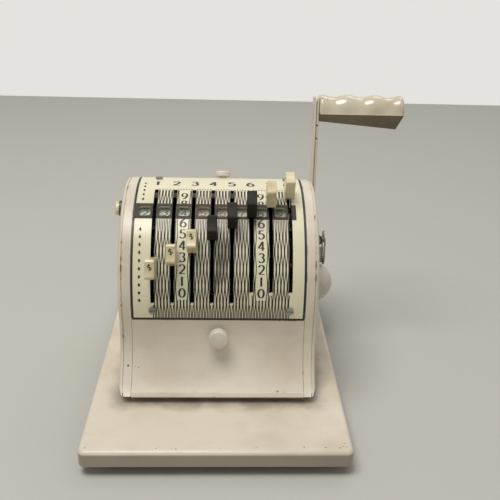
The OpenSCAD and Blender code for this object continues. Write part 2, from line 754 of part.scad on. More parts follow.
// Dark steel latch plate on two posts beside the arm, with a window
module latch_plate() color("#4c4b49") {
    x1 = arm_out + latch_off;
    on_arm(x1) rotate([90, 0, 90]) linear_extrude(height = latch_t) difference() {
        union() {
            translate([0, latch_high]) circle(r = latch_r, $fn = 48);
            translate([-latch_r, latch_low]) square([2 * latch_r, latch_high - latch_low]);
            translate([0, latch_low]) circle(r = latch_r, $fn = 48);
        }
        translate([-latch_window_w / 2, latch_low + 0.5]) square([latch_window_w, latch_window_h]);
    }
    for (z = latch_posts)
        on_arm(arm_out) translate([0, 0, z]) rotate([0, 90, 0])
            cylinder(d = latch_post_d, h = latch_off + 0.2, $fn = 32);
    on_arm(x1 + latch_t) translate([0, 0, latch_posts[1]]) rotate([0, 90, 0])
        cylinder(d = latch_post_d + 1.5, h = 1.4, $fn = 32);
}

// Two close turns of wire about the crank bushing
module return_spring() color("#83827e")
    for (x = [cover_out + 0.6, cover_out + 1.7])
        translate([x, crank_y, crank_z]) rotate([0, 90, 0])
            rotate_extrude($fn = 64) translate([9, 0]) circle(d = 1.2, $fn = 16);

// Rubber-sleeved pin behind the resting arm
module crank_stop() color("#2b2a28")
    on_arm(cover_out) translate([0, arm_w / 2 + stop_d / 2 + 0.3, stop_up]) rotate([0, 90, 0])
        cylinder(d = stop_d, h = arm_gap + arm_t, $fn = 32);

// ---- Platen ----

module platen_bar() color("#8f8e8a") {
    z0 = base_top - platen_pad_h - platen_bar_h;
    y0 = drum_y - platen_w / 2;
    shelf_z = crank_z + cam_base_r + shelf_gap;
    translate([-strap_out + 3.6, y0, z0])
        cube([2 * strap_out - 3.6, platen_w, platen_bar_h]);
    translate([strap_in, y0, z0]) cube([strap_out - strap_in, platen_w, shelf_z + shelf_t - z0]);
    translate([strap_in, y0, shelf_z])
        cube([strap_out - strap_in, crank_y + 6 - y0, shelf_t]);
}

module platen_pad() color("#34322f")
    translate([-ribbon_w / 2, drum_y - platen_w / 2 + 0.8, base_top - platen_pad_h])
        cube([ribbon_w, platen_w - 1.6, platen_pad_h]);

// ---- Rear lid ----

module rear_lid() color("#d4cbba") difference() {
    union() {
        plate_x(-half_panel, half_panel)
            polygon([lid_point(lid_gap, 0), lid_point(lid_len, 0), lid_point(lid_len, -lid_t),
                lid_point(lid_gap, -lid_t)]);
        rod_x(lid_hinge, barrel_d, -half_panel, half_panel);
    }
    rod_x(lid_hinge, lid_pin_d + 2 * run_c, -frame_in, frame_in);
}

module lid_hinge_pin() color("#9b9b99") rod_x(lid_hinge, lid_pin_d, -frame_out, frame_out);

module top_knob() color("#d9cdb2") {
    p = lid_point(top_knob_back, 0);
    translate([row_x, p[0], p[1]]) rotate([-lid_slope, 0, 0]) {
        cylinder(d = 5, h = 3, $fn = 32);
        translate([0, 0, 2.5]) cylinder(d1 = top_knob_d - 2, d2 = top_knob_d, h = 1, $fn = 48);
        translate([0, 0, 3.5]) cylinder(d = top_knob_d, h = 2.4, $fn = 48);
        translate([0, 0, 5.9]) cylinder(d1 = top_knob_d, d2 = top_knob_d - 3, h = 0.8, $fn = 48);
    }
}

// ---- Front button ----

module front_button() color("#e2d8bf")
    at_angle(flare_c, button_a) {
        face = flare_r - button_gap - button_head_h;
        translate([face + 2, 0, 0]) rotate([0, 90, 0])
            cylinder(d = button_d, h = button_head_h - 2, $fn = 64);
        translate([face + 2, 0, 0]) rotate([0, -90, 0])
            cylinder(d1 = button_d, d2 = button_d - 5, h = 2, $fn = 64);
        translate([flare_r - button_gap, 0, 0]) rotate([0, 90, 0])
            cylinder(d = button_stem_d, h = button_gap + button_stem_len, $fn = 32);
    }

// ---- Ribbon ----

module spool(c, x1, roll_d) color("#5c5b58") {
    rod_x(c, spool_shaft_d, x1, frame_out);
    for (s = [-1, 1]) rod_x(c, roll_d - 1, s * (ribbon_w / 2 + 1) - 0.6, s * (ribbon_w / 2 + 1) + 0.6);
}

module roll(c, roll_d) color("#232028") difference() {
    rod_x(c, roll_d, -ribbon_w / 2, ribbon_w / 2, 64);
    rod_x(c, spool_shaft_d, -ribbon_w, ribbon_w);
}

module rear_spool() spool(rear_spool_c, -cover_out - knob_gap - ribbon_knob_len, rear_roll_d);
module rear_ribbon_roll() roll(rear_spool_c, rear_roll_d);
module front_spool() spool(front_spool_c, -frame_out, front_roll_d);
module front_ribbon_roll() roll(front_spool_c, front_roll_d);

module ribbon_guide_rods() color("#9b9b99") {
    rod_x([front_guide_y, guide_z], guide_d, -frame_in, frame_in);
    rod_x([rear_guide_y, guide_z], guide_d, -frame_in, frame_in);
}

// Point where a line from p touches the lower side of a circle about c
function lower_touch(c, r, p) =
    let (d = p - c, a = atan2(d[1], d[0]) - acos(r / norm(d))) c + r * [cos(a), sin(a)];

// Inked ribbon from the front roll, under both rods and up to the rear roll
module ribbon_web() color("#232028") {
    z1 = ribbon_z - ribbon_t / 2;
    z2 = ribbon_z + ribbon_t / 2;
    front_r = front_roll_d / 2 + roll_gap;
    front_top = lower_touch(front_spool_c, front_r, [front_guide_y, z2]);
    front_low = lower_touch(front_spool_c, front_r + ribbon_t, [front_guide_y, z1]);
    rear_y = rear_spool_c[0] + rear_roll_d / 2 + roll_gap;
    turn_y = rear_guide_y + guide_d / 2 + 2 * guide_gap;
    plate_x(-ribbon_w / 2, ribbon_w / 2)
        polygon([front_low, [front_guide_y, z1],
            [turn_y + ribbon_t, z1], [rear_y + ribbon_t, rear_spool_c[1] - 2],
            [rear_y, rear_spool_c[1] - 2], [turn_y, z2], [front_guide_y, z2], front_top]);
}

module ribbon_knob() color("#4a453d") difference() {
    x1 = -cover_out - knob_gap - ribbon_knob_len;
    rod_x(rear_spool_c, ribbon_knob_d, x1, -cover_out - knob_gap);
    rod_x(rear_spool_c, spool_shaft_d, x1 - 1, 0);
    for (i = [0 : 23])
        translate([x1 - 1, rear_spool_c[0], rear_spool_c[1]]) rotate([i * 15, 0, 0])
            translate([0, ribbon_knob_d / 2, 0]) rotate([0, 90, 0])
                cylinder(d = 0.9, h = ribbon_knob_len + 2, $fn = 16);
}

module ribbon_knob_cap() color("#dccfb0") {
    x2 = -cover_out - knob_gap - ribbon_knob_len;
    rod_x(rear_spool_c, knob_cap_d, x2 - knob_cap_t, x2);
}

place() {
    base_casting();
    bottom_plate();
    bottom_plate_screws();
    rubber_feet();
    left_side_frame();
    right_side_frame();
    left_side_cover();
    right_side_cover();
    side_cover_screws();
    keyboard_panel();
    window_bezel();
    window_lenses();
    panel_screws();
    front_panel();
    back_cover();
    lower_crossbar();
    upper_crossbar();
    selector_shaft();
    shaft_spacers();
    detent_bar();
    detent_springs();
    ribbon_guide_rods();
    ribbon_web();
    lid_hinge_pin();
    crank_bushing();
    return_spring();
    crank_stop();
    selector_1();
    selector_2();
    selector_3();
    selector_4();
    selector_5();
    selector_6();
    selector_7();
    selector_8();
    key_1();
    key_2();
    key_3();
    key_4();
    key_5();
    key_6();
    key_7();
    key_8();
    crank_shaft();
    crank_arm();
    hub_cap();
    hand_grip();
    latch_plate();
    platen_bar();
    platen_pad();
    rear_lid();
    top_knob();
    front_button();
    rear_spool();
    rear_ribbon_roll();
    ribbon_knob();
    ribbon_knob_cap();
    front_spool();
    front_ribbon_roll();
}
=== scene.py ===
import json
import math

import bmesh
import bpy
from mathutils import Matrix, Vector

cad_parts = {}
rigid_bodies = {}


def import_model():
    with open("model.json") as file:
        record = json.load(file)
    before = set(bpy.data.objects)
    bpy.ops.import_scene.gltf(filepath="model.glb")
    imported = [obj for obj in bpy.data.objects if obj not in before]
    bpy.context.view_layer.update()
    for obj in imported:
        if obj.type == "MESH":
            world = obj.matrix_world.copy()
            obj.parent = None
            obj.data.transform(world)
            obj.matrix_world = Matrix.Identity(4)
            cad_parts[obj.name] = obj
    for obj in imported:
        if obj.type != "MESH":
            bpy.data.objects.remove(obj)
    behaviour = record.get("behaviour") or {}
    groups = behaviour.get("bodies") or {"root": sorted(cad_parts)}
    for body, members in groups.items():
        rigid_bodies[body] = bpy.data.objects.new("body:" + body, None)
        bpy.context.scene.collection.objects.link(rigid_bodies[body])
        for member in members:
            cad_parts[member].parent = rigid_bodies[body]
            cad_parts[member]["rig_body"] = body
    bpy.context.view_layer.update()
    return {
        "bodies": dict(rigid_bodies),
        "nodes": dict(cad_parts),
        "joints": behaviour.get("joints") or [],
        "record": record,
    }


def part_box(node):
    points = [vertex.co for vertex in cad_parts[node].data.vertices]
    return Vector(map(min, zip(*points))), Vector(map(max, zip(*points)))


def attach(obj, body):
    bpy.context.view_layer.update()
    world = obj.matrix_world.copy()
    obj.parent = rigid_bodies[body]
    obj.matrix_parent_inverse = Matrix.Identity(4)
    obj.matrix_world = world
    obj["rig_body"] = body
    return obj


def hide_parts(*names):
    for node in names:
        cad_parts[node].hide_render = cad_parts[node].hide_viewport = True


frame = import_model()
NODES = frame["nodes"]

# ---- Places and sizes, in millimetres of the machine's own frame: X = 0 in the middle of
# the housing, Y = 0 at the base's front edge, Z = 0 on the desk ----

MM = 0.001
base_lo, base_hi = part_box("base_casting")
ORIGIN = Vector(((base_lo.x + base_hi.x) / 2, base_lo.y, 0))


def metres(point):
    return ORIGIN + Vector(point) * MM


def box_mm(node):
    lo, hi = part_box(node)
    return (lo - ORIGIN) / MM, (hi - ORIGIN) / MM


def middle(node):
    lo, hi = box_mm(node)
    return (lo + hi) / 2


DRUM = middle("selector_shaft")
PANEL_LO, PANEL_HI = box_mm("keyboard_panel")
DRUM_R = DRUM.y - PANEL_LO.y
HALF_PANEL = PANEL_HI.x
COUNT = 8
SLOT_X = [middle(f"key_{k + 1}").x for k in range(COUNT)]
PITCH = SLOT_X[1] - SLOT_X[0]
SLOT_HALF = 1.25
DEEP_COUNT = 5
SHOWN = [2, 3, 4, 5, 6, 7, 8, 9]

# Angles about the drum's axis, in degrees
STEP_A = 6.81
ZERO_A = 10.75
PANEL_LOW_A = -6.5
RIDGE_A = 100.0
WINDOW_A = 59.8
SLOT_LOW_A = 10.98
SLOT_TOP_A = 78.6

STRIP_R = 60.5
BAND_HALF = 6.0
RED_STRIPS = (3, 4, 5)
DIGIT_COLUMNS = (1, 5)
CRANK = middle("crank_bushing")
ARM_LEN = 136.0
ARM_LEAN = math.radians(8.65)


def arc_point(x, angle, radius):
    """Point at an angle about the drum's axis; 0 degrees is the front, 90 is up."""
    a = math.radians(angle)
    return (x, DRUM.y - radius * math.cos(a), DRUM.z + radius * math.sin(a))


def on_drum(x0, angle, radius):
    """Maps (u, v, h) to the cylinder of that radius: u to the right, v up along it."""
    def place(u, v, h):
        return arc_point(x0 + u, angle + math.degrees(v / radius), radius + h)
    return place


def on_arm(x, y, z):
    """A point of the crank arm's own frame: y to the back, z along the arm."""
    c, s = math.cos(ARM_LEAN), math.sin(ARM_LEAN)
    return (x, CRANK.y + y * c + z * s, CRANK.z - y * s + z * c)


# ---- Materials ----

def srgb(r, g, b):
    def linear(c):
        c /= 255
        return c / 12.92 if c <= 0.04045 else ((c + 0.055) / 1.055) ** 2.4
    return (linear(r), linear(g), linear(b), 1.0)


def darker(colour, share):
    return (*[c * share for c in colour[:3]], 1.0)


class Graph:
    """A Principled material with small helpers for its texture nodes."""

    def __init__(self, name, colour, roughness, metallic=0.0, coat=0.0, alpha=1.0):
        self.material = bpy.data.materials.new(name)
        self.material.use_nodes = True
        self.tree = self.material.node_tree
        self.shader = self.tree.nodes["Principled BSDF"]
        values = {"Base Color": colour, "Roughness": roughness, "Metallic": metallic,
                  "Coat Weight": coat, "Coat Roughness": 0.12, "Alpha": alpha}
        for key, value in values.items():
            self.shader.inputs[key].default_value = value
        self.coords = self.tree.nodes.new("ShaderNodeTexCoord").outputs["Object"]

    def add(self, kind, inputs, output=0, **settings):
        node = self.tree.nodes.new(kind)
        for key, value in settings.items():
            setattr(node, key, value)
        for key, value in inputs.items():
            if isinstance(value, bpy.types.NodeSocket):
                self.tree.links.new(value, node.inputs[key])
            else:
                node.inputs[key].default_value = value
        return node.outputs[output]

    def stretched(self, x, y, z):
        return self.add("ShaderNodeMapping", {"Vector": self.coords, "Scale": (x, y, z)})

    def noise(self, scale, detail=3.0, vector=None):
        return self.add("ShaderNodeTexNoise", {"Vector": vector or self.coords,
                                               "Scale": scale, "Detail": detail})

    def cells(self, scale):
        return self.add("ShaderNodeTexVoronoi", {"Vector": self.coords, "Scale": scale})

    def between(self, value, low, high, to_low=0.0, to_high=1.0):
        return self.add("ShaderNodeMapRange", {"Value": value, "From Min": low,
                        "From Max": high, "To Min": to_low, "To Max": to_high},
                        interpolation_type="SMOOTHSTEP")

    def maths(self, operation, a, b):
        return self.add("ShaderNodeMath", {0: a, 1: b}, operation=operation)

    def mix(self, factor, a, b):
        return self.add("ShaderNodeMix", {0: factor, 6: a, 7: b}, output=2, data_type="RGBA")

    def facing(self, start, full):
        """Grows from 0 to 1 as the face's upward slope falls from start to full."""
        normal = self.add("ShaderNodeNewGeometry", {}, output="Normal")
        z = self.add("ShaderNodeSeparateXYZ", {0: normal}, output="Z")
        return self.between(z, start, full)

    def edges(self, radius):
        """1 near an edge of the piece and 0 on flat stretches."""
        rounded = self.add("ShaderNodeBevel", {"Radius": radius}, samples=6)
        plain = self.add("ShaderNodeNewGeometry", {}, output="Normal")
        same = self.add("ShaderNodeVectorMath", {0: rounded, 1: plain}, output="Value",
                        operation="DOT_PRODUCT")
        return self.between(same, 0.99, 0.86)

    def paint(self, colour):
        self.tree.links.new(colour, self.shader.inputs["Base Color"])

    def roughen(self, value, low, high):
        self.tree.links.new(self.between(value, 0.3, 0.7, low, high),
                            self.shader.inputs["Roughness"])

    def bump(self, height, distance, strength=0.5):
        normal = self.add("ShaderNodeBump", {"Height": height, "Distance": distance,
                                             "Strength": strength})
        self.tree.links.new(normal, self.shader.inputs["Normal"])


def enamel(name, colour, grime, bare, chips=0.66, wear=0.5, gloss=(0.3, 0.46), upright=0.0,
           coat=0.15, housing=None):
    """Old baked enamel: cloudy grime, dark pinholes, and chips along the edges, with painted
    shade on faces that look downwards and, by the share upright, on upright faces. A painted
    contact shadow falls round a housing, which is given as its middle, half its width, its front
    and its back."""
    g = Graph(name, colour, gloss[0], coat=coat)
    cloud = g.between(g.noise(22, 5), 0.42, 0.75, 0.0, 0.55)
    streak = g.between(g.noise(1, 4, g.stretched(30, 120, 120)), 0.55, 0.8, 0.0, 0.25)
    shade = g.mix(cloud, colour, grime)
    shade = g.mix(streak, shade, grime)
    spots = g.maths("MULTIPLY", g.between(g.cells(170), 0.16, 0.1),
                    g.between(g.noise(38, 2), chips, chips + 0.03))
    shade = g.mix(spots, shade, bare)
    patches = g.between(g.noise(85, 4), wear + 0.08, wear + 0.13)
    rim = g.maths("MULTIPLY", g.edges(0.0009), patches)
    shade = g.mix(rim, shade, bare)
    # Painted shade: faces that look downwards take on the grime colour.
    underside_shade = g.maths("MULTIPLY", g.facing(-0.15, -0.75), 0.55)
    shade = g.mix(underside_shade, shade, grime)
    # Painted contact shadow: the colour darkens towards the housing's outline, with a ragged
    # edge.
    if housing:
        middle_x, half, front, back = housing
        x, y = (g.add("ShaderNodeSeparateXYZ", {0: g.coords}, output=k) for k in "XY")
        off_middle = g.maths("ABSOLUTE", g.maths("SUBTRACT", x, middle_x), 0.0)
        beside = g.maths("SUBTRACT", off_middle, half)
        before = g.maths("SUBTRACT", front, y)
        behind = g.maths("SUBTRACT", y, back)
        legs = [g.maths("POWER", g.maths("MAXIMUM", d, 0.0), 2.0)
                for d in (beside, g.maths("MAXIMUM", before, behind))]
        away = g.maths("ADD", g.maths("SQRT", g.maths("ADD", *legs), 0.0),
                       g.between(g.noise(70, 5), 0.3, 0.7, -0.0025, 0.0025))
        contact_shadow = g.between(away, 0.0105, -0.004, 0.0, 0.7)
        shade = g.mix(contact_shadow, shade, darker(grime, 0.3))
    # Painted shade: upright faces are darkened by the share given as upright.
    if upright:
        walls = g.maths("MULTIPLY", g.facing(0.55, 0.1), upright)
        shade = g.mix(walls, shade, darker(grime, 0.42))
    g.paint(shade)
    g.roughen(g.noise(60, 3), *gloss)
    g.bump(g.noise(420, 2), 0.00006, 0.35)
    return g.material


def moulded(name, colour, dark, gloss=(0.22, 0.34), coat=0.3, pits=0.7, shine=0.5):
    """Moulded plastic, yellowed in clouds, with fine pits and soft scratches."""
    g = Graph(name, colour, gloss[0], coat=coat)
    g.shader.inputs["Specular IOR Level"].default_value = shine
    shade = g.mix(g.between(g.noise(45, 4), 0.4, 0.7, 0.0, 0.6), colour, dark)
    spots = g.maths("MULTIPLY", g.between(g.cells(260), 0.17, 0.1),
                    g.between(g.noise(60, 2), pits, pits + 0.04))
    shade = g.mix(spots, shade, darker(dark, 0.25))
    grime = g.maths("MULTIPLY", g.edges(0.0006), g.between(g.noise(120, 3), 0.48, 0.62, 0, 0.5))
    g.paint(g.mix(grime, shade, dark))
    g.roughen(g.noise(150, 3), *gloss)
    g.bump(g.noise(700, 3), 0.00004, 0.4)
    return g.material


def metal(name, colour, dark, gloss=(0.25, 0.42), brushed=(60, 900, 900)):
    """Turned or brushed metal with dull patches."""
    g = Graph(name, colour, gloss[0], metallic=1.0)
    g.paint(g.mix(g.between(g.noise(70, 5), 0.4, 0.75, 0.0, 0.8), colour, dark))
    lines = g.noise(1, 2, g.stretched(*brushed))
    g.roughen(lines, *gloss)
    g.bump(lines, 0.00002, 0.3)
    return g.material


def rubber(name, colour, dust):
    g = Graph(name, colour, 0.7)
    g.paint(g.mix(g.between(g.noise(90, 5), 0.45, 0.8, 0.0, 0.5), colour, dust))
    g.roughen(g.noise(200, 3), 0.6, 0.85)
    g.bump(g.noise(900, 3), 0.00006, 0.5)
    return g.material


def printed(name, colour, paper):
    """Printing ink, thin in places so that the ground shows through."""
    g = Graph(name, colour, 0.5)
    g.paint(g.mix(g.between(g.noise(260, 4), 0.6, 0.85, 0.0, 0.16), colour, paper))
    g.roughen(g.noise(220, 2), 0.35, 0.55)
    g.bump(g.noise(600, 2), 0.00002, 0.3)
    return g.material


def window_glass():
    g = Graph("window_glass", srgb(190, 196, 182), 0.1, coat=0.4, alpha=0.13)
    g.roughen(g.noise(120, 3), 0.08, 0.2)
    g.bump(g.noise(90, 2), 0.00001, 0.2)
    return g.material


BROWN = srgb(92, 68, 48)
CREAM_INK = srgb(196, 187, 158)
FINISHES = {
    "enamel": enamel("enamel", srgb(219, 209, 193), srgb(186, 172, 150), BROWN),
    "panel_enamel": enamel("panel_enamel", srgb(228, 222, 193), srgb(206, 197, 162),
                           srgb(84, 70, 50), chips=0.7, wear=0.56, gloss=(0.28, 0.4)),
    "band": enamel("band", srgb(40, 31, 26), srgb(54, 44, 37), srgb(110, 94, 78),
                   chips=0.76, wear=0.54, gloss=(0.55, 0.7), coat=0.0),
    "glass": window_glass(),
    "bright_steel": metal("bright_steel", srgb(196, 194, 188), srgb(128, 122, 112)),
    "plain_steel": metal("plain_steel", srgb(158, 156, 150), srgb(98, 92, 84), (0.35, 0.55)),
    "dark_steel": metal("dark_steel", srgb(86, 84, 80), srgb(42, 40, 38), (0.32, 0.5)),
    "brass": metal("brass", srgb(186, 150, 84), srgb(120, 92, 52)),
    "black_rubber": rubber("black_rubber", srgb(38, 36, 33), srgb(88, 84, 76)),
    "key_cream": moulded("key_cream", srgb(219, 207, 170), srgb(166, 146, 104)),
    "key_dark": moulded("key_dark", srgb(24, 18, 16), srgb(38, 30, 26), (0.5, 0.62), 0.0,
                        0.76, 0.25),
    "grip_cream": moulded("grip_cream", srgb(205, 194, 170), srgb(172, 158, 130),
                          (0.12, 0.22), 0.6, 0.56),
    "ribbon": rubber("ribbon", srgb(34, 30, 40), srgb(58, 50, 66)),
}
INK = printed("black_ink", srgb(24, 19, 15), CREAM_INK)
RED_INK = printed("red_ink", srgb(160, 58, 44), CREAM_INK)
KNOB_WHITE = moulded("knob_white", srgb(221, 214, 199), srgb(186, 175, 153), (0.26, 0.4), 0.2,
                     0.72)
HUB_WHITE = moulded("hub_white", srgb(207, 201, 188), srgb(170, 162, 146), (0.24, 0.36), 0.3,
                    0.7)
# The base's enamel, with painted shade on its upright faces and a painted contact shadow round
# the housing's foot.
BASE_ENAMEL = enamel("base_enamel", srgb(222, 211, 194), srgb(190, 175, 152), BROWN, chips=0.78,
                     upright=0.68,
                     housing=(ORIGIN.x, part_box("right_side_cover")[1].x - ORIGIN.x,
                              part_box("front_panel")[0].y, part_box("back_cover")[1].y))
# A lighter copy of the grip plastic: painted highlight along the seam ledge.
LEDGE_HIGHLIGHT = moulded("grip_ledge", srgb(226, 208, 186), srgb(200, 178, 152), (0.2, 0.3))
# Near-black sheet for the slot walls: painted shade inside the slots.
SLOT_SHADE_LINER = rubber("slot_liner", srgb(16, 15, 14), srgb(22, 21, 20))
# A darker copy of the grip plastic: painted shade on the downward-facing keel.
GRIP_SHADED_UNDERSIDE = moulded("grip_shaded_underside", srgb(118, 107, 84), srgb(92, 80, 60), (0.3, 0.44),
                         0.1, 0.66)
STRIP_GROUND = moulded("strip_ground", srgb(232, 230, 214), srgb(206, 202, 182), (0.5, 0.6),
                       0.0, 0.8)
# Near-black steel for the parts seen through the slots: painted shade.
SLOT_SHADE_STEEL = metal("blacked_steel", srgb(44, 42, 40), srgb(24, 22, 21), (0.45, 0.6))
WORN_EDGE = enamel("worn_edge", srgb(150, 126, 104), srgb(118, 92, 72), srgb(84, 58, 44),
                   chips=0.5, wear=0.4)


# ---- Mesh helpers ----

class Shape:
    """Vertices in millimetres and faces; every part of it is a closed body."""

    def __init__(self):
        self.verts = []
        self.faces = []

    def loft(self, rings, closed=True):
        """Joins rings of equal length, and caps the first and the last."""
        n = len(rings[0])
        start = len(self.verts)
        for ring in rings:
            self.verts += ring
        for j in range(len(rings) - 1):
            for i in range(n):
                a = start + j * n + i
                b = start + j * n + (i + 1) % n
                self.faces.append((a, b, b + n, a + n))
        if closed:
            last = start + (len(rings) - 1) * n
            for ring, first in ((rings[0], start), (rings[-1], last)):
                face = [first + i for i in range(n) if ring[i] != ring[i - 1]]
                if len(face) > 2:
                    self.faces.append(tuple(face))

    def lathe(self, profile, place, steps=64):
        """Turns (radius, height) pairs; place(a, b, h) maps the disc's plane and height."""
        rings = []
        for radius, height in profile:
            rings.append([place(radius * math.cos(2 * math.pi * i / steps),
                                radius * math.sin(2 * math.pi * i / steps), height)
                          for i in range(steps)])
        self.loft(rings)

    def stroke(self, points, half, place, top=0.04, bottom=-0.02):
        """A thin raised band along a 2-D line; half(dx, dy) gives its half width."""
        rings = []
        for i, (u, v) in enumerate(points):
            u0, v0 = points[max(i - 1, 0)]
            u1, v1 = points[min(i + 1, len(points) - 1)]
            length = math.hypot(u1 - u0, v1 - v0)
            dx, dy = (u1 - u0) / length, (v1 - v0) / length
            w = half(dx, dy)
            a = (u - dy * w, v + dx * w)
            b = (u + dy * w, v - dx * w)
            rings.append([place(*a, top), place(*b, top), place(*b, bottom),
                          place(*a, bottom)])
        self.loft(rings)

    def tile(self, outline, place, top=0.04, bottom=-0.02):
        """A flat raised shape with that 2-D outline."""
        self.loft([[place(u, v, h) for u, v in outline] for h in (top, bottom)])


def link(name, mesh, finish, body, material=None, replaces=()):
    mesh.materials.clear()
    mesh.materials.append(material or FINISHES[finish])
    obj = bpy.data.objects.new(name, mesh)
    bpy.context.scene.collection.objects.link(obj)
    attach(obj, body)
    if replaces:
        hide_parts(*replaces)
    return obj


def shade(mesh, sharp):
    mesh.polygons.foreach_set("use_smooth", [True] * len(mesh.polygons))
    mesh.set_sharp_from_angle(angle=math.radians(sharp))


def weigh_normals(obj):
    """Lets the large faces keep their own direction beside rounded edges."""
    modifier = obj.modifiers.new("weighted", "WEIGHTED_NORMAL")
    modifier.keep_sharp = True


def piece(name, shape, finish, body, material=None, replaces=(), sharp=40, weighted=False):
    mesh = bpy.data.meshes.new(name)
    mesh.from_pydata([metres(v) for v in shape.verts], [], shape.faces)
    bm = bmesh.new()
    bm.from_mesh(mesh)
    bmesh.ops.recalc_face_normals(bm, faces=bm.faces)
    bm.to_mesh(mesh)
    bm.free()
    shade(mesh, sharp)
    obj = link(name, mesh, finish, body, material, replaces)
    if weighted:
        weigh_normals(obj)
    return obj


def welded(node):
    """The node's own mesh with its seams closed and its flat faces whole."""
    bm = bmesh.new()
    bm.from_mesh(NODES[node].data)
    bmesh.ops.remove_doubles(bm, verts=bm.verts, dist=1e-6)
    bmesh.ops.dissolve_limit(bm, angle_limit=math.radians(0.8), verts=bm.verts,
                             edges=bm.edges)
    return bm


def dressed(node, finish, edge=0.3, segments=2, material=None, sharp=40):
    """The node's shape with its edges broken, as a piece that stands for it."""
    bm = welded(node)
    corners = [e for e in bm.edges if len(e.link_faces) == 2
               and e.calc_face_angle(0.0) > math.radians(35)]
    if edge:
        bmesh.ops.bevel(bm, geom=corners, offset=edge * MM, offset_type="OFFSET",
                        segments=segments, profile=0.5, affect="EDGES", clamp_overlap=True)
    mesh = bpy.data.meshes.new(node + "_finish")
    bm.to_mesh(mesh)
    bm.free()
    shade(mesh, sharp)
    obj = link(mesh.name, mesh, finish, NODES[node]["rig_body"], material, [node])
    weigh_normals(obj)
    return obj


def length_of(loop):
    return sum(math.dist(a, b) for a, b in zip(loop, loop[1:] + loop[:1]))


def side_loop(node, side):
    """Outline [Y, Z] of the node's face at its outer side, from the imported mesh."""
    bm = welded(node)
    lo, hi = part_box(node)
    x = hi.x if side > 0 else lo.x
    faces = [f for f in bm.faces if all(abs(v.co.x - x) < 1e-5 for v in f.verts)]
    ours = set(faces)
    border = [e for f in faces for e in f.edges if sum(g in ours for g in e.link_faces) == 1]
    near = {}
    for e in border:
        for v in e.verts:
            near.setdefault(v, []).append(e.other_vert(v))
    loops = []
    left = set(near)
    for start in near:
        if start not in left:
            continue
        left.discard(start)
        loop, last, now = [start], None, start
        while True:
            step = [v for v in near[now] if v != last]
            last, now = now, step[0]
            if now == start:
                break
            loop.append(now)
            left.discard(now)
        loops.append([((v.co.y - ORIGIN.y) / MM, v.co.z / MM) for v in loop])
    bm.free()
    return max(loops, key=length_of)


def area_of(loop):
    return sum(a[0] * b[1] - b[0] * a[1] for a, b in zip(loop, loop[1:] + loop[:1])) / 2


def inset(loop, distance):
    """The outline moved inwards. Edges that this would turn over shrink to a point."""
    n = len(loop)
    turn = 1 if area_of(loop) > 0 else -1
    points = [Vector(p) for p in loop]
    along = [(points[(i + 1) % n] - points[i]).normalized() for i in range(n)]
    starts = [points[i] + Vector((-along[i].y, along[i].x)) * turn * distance
              for i in range(n)]

    def meet(i, j):
        p, d, q, e = starts[i], along[i], starts[j], along[j]
        across = d.x * e.y - d.y * e.x
        if abs(across) < 0.02:
            return (p + d * (points[(i + 1) % n] - points[i]).length + q) / 2
        return p + d * (((q.x - p.x) * e.y - (q.y - p.y) * e.x) / across)

    kept = list(range(n))
    while True:
        corners = [meet(kept[k - 1], kept[k]) for k in range(len(kept))]
        runs = [(corners[(k + 1) % len(kept)] - corners[k]).dot(along[kept[k]])
                for k in range(len(kept))]
        worst = min(range(len(kept)), key=runs.__getitem__)
        if runs[worst] >= 0 or len(kept) < 4:
            break
        kept.pop(worst)
    corner_of = dict(zip(kept, corners))
    moved = []
    for i in range(n):
        edge = next(j % n for j in range(i, i + n) if j % n in corner_of)
        moved.append(tuple(corner_of[edge]))
    return moved


def round_corners(loop, radius, turn=24.0, steps=7):
    """Replaces each sharp corner of the outline by a curve that starts a way before it."""
    n = len(loop)
    points = [Vector(p) for p in loop]
    ends = [0.0]
    for i in range(n):
        ends.append(ends[-1] + (points[(i + 1) % n] - points[i]).length)
    total = ends[-1]

    def at(s):
        s %= total
        i = next(j for j in range(n) if ends[j + 1] >= s)
        t = (s - ends[i]) / max(ends[i + 1] - ends[i], 1e-9)
        return points[i].lerp(points[(i + 1) % n], t)
    sharp = []
    for i in range(n):
        angle = (points[i] - points[i - 1]).angle(points[(i + 1) % n] - points[i])
        if angle > math.radians(turn):
            sharp.append((i, angle))
    cuts = {}
    for k, (i, angle) in enumerate(sharp):
        before = (ends[i] - ends[sharp[k - 1][0]]) % total or total
        after = (ends[sharp[(k + 1) % len(sharp)][0]] - ends[i]) % total or total
        cuts[i] = min(radius * math.tan(angle / 2), 0.45 * before, 0.45 * after)
    out = []
    for i in range(n):
        if i in cuts:
            start, end = at(ends[i] - cuts[i]), at(ends[i] + cuts[i])
            for j in range(steps + 1):
                t = j / steps
                out.append(tuple(start * (1 - t) ** 2 + points[i] * 2 * t * (1 - t)
                                 + end * t * t))
        elif all(min((ends[i] - ends[j]) % total, (ends[j] - ends[i]) % total) > cut + 0.05
                 for j, cut in cuts.items()):
            out.append(tuple(points[i]))
    return out


def rounded_prism(outline, x0, x1, round0, round1, place, steps=5, lean=1.0):
    """The outline drawn out from x0 to x1 with rounded ends, which reach lean times as far
    inwards as along x; place(x, p) makes points."""
    stations = []
    for i in range(steps + 1):
        a = math.pi / 2 * i / steps
        stations.append((x0 + round0 * (1 - math.cos(a)), lean * round0 * (1 - math.sin(a))))
    for i in range(steps + 1):
        a = math.pi / 2 * (1 - i / steps)
        stations.append((x1 - round1 * (1 - math.cos(a)), lean * round1 * (1 - math.sin(a))))
    shape = Shape()
    shape.loft([[place(x, p) for p in inset(outline, d)] for x, d in stations])
    return shape


def arc(cx, cy, rx, ry, start, end, steps=14):
    """Points of an ellipse's arc, in degrees, counted from the right."""
    out = []
    for i in range(steps + 1):
        a = math.radians(start + (end - start) * i / steps)
        out.append((cx + rx * math.cos(a), cy + ry * math.sin(a)))
    return out


# ---- Printed figures ----

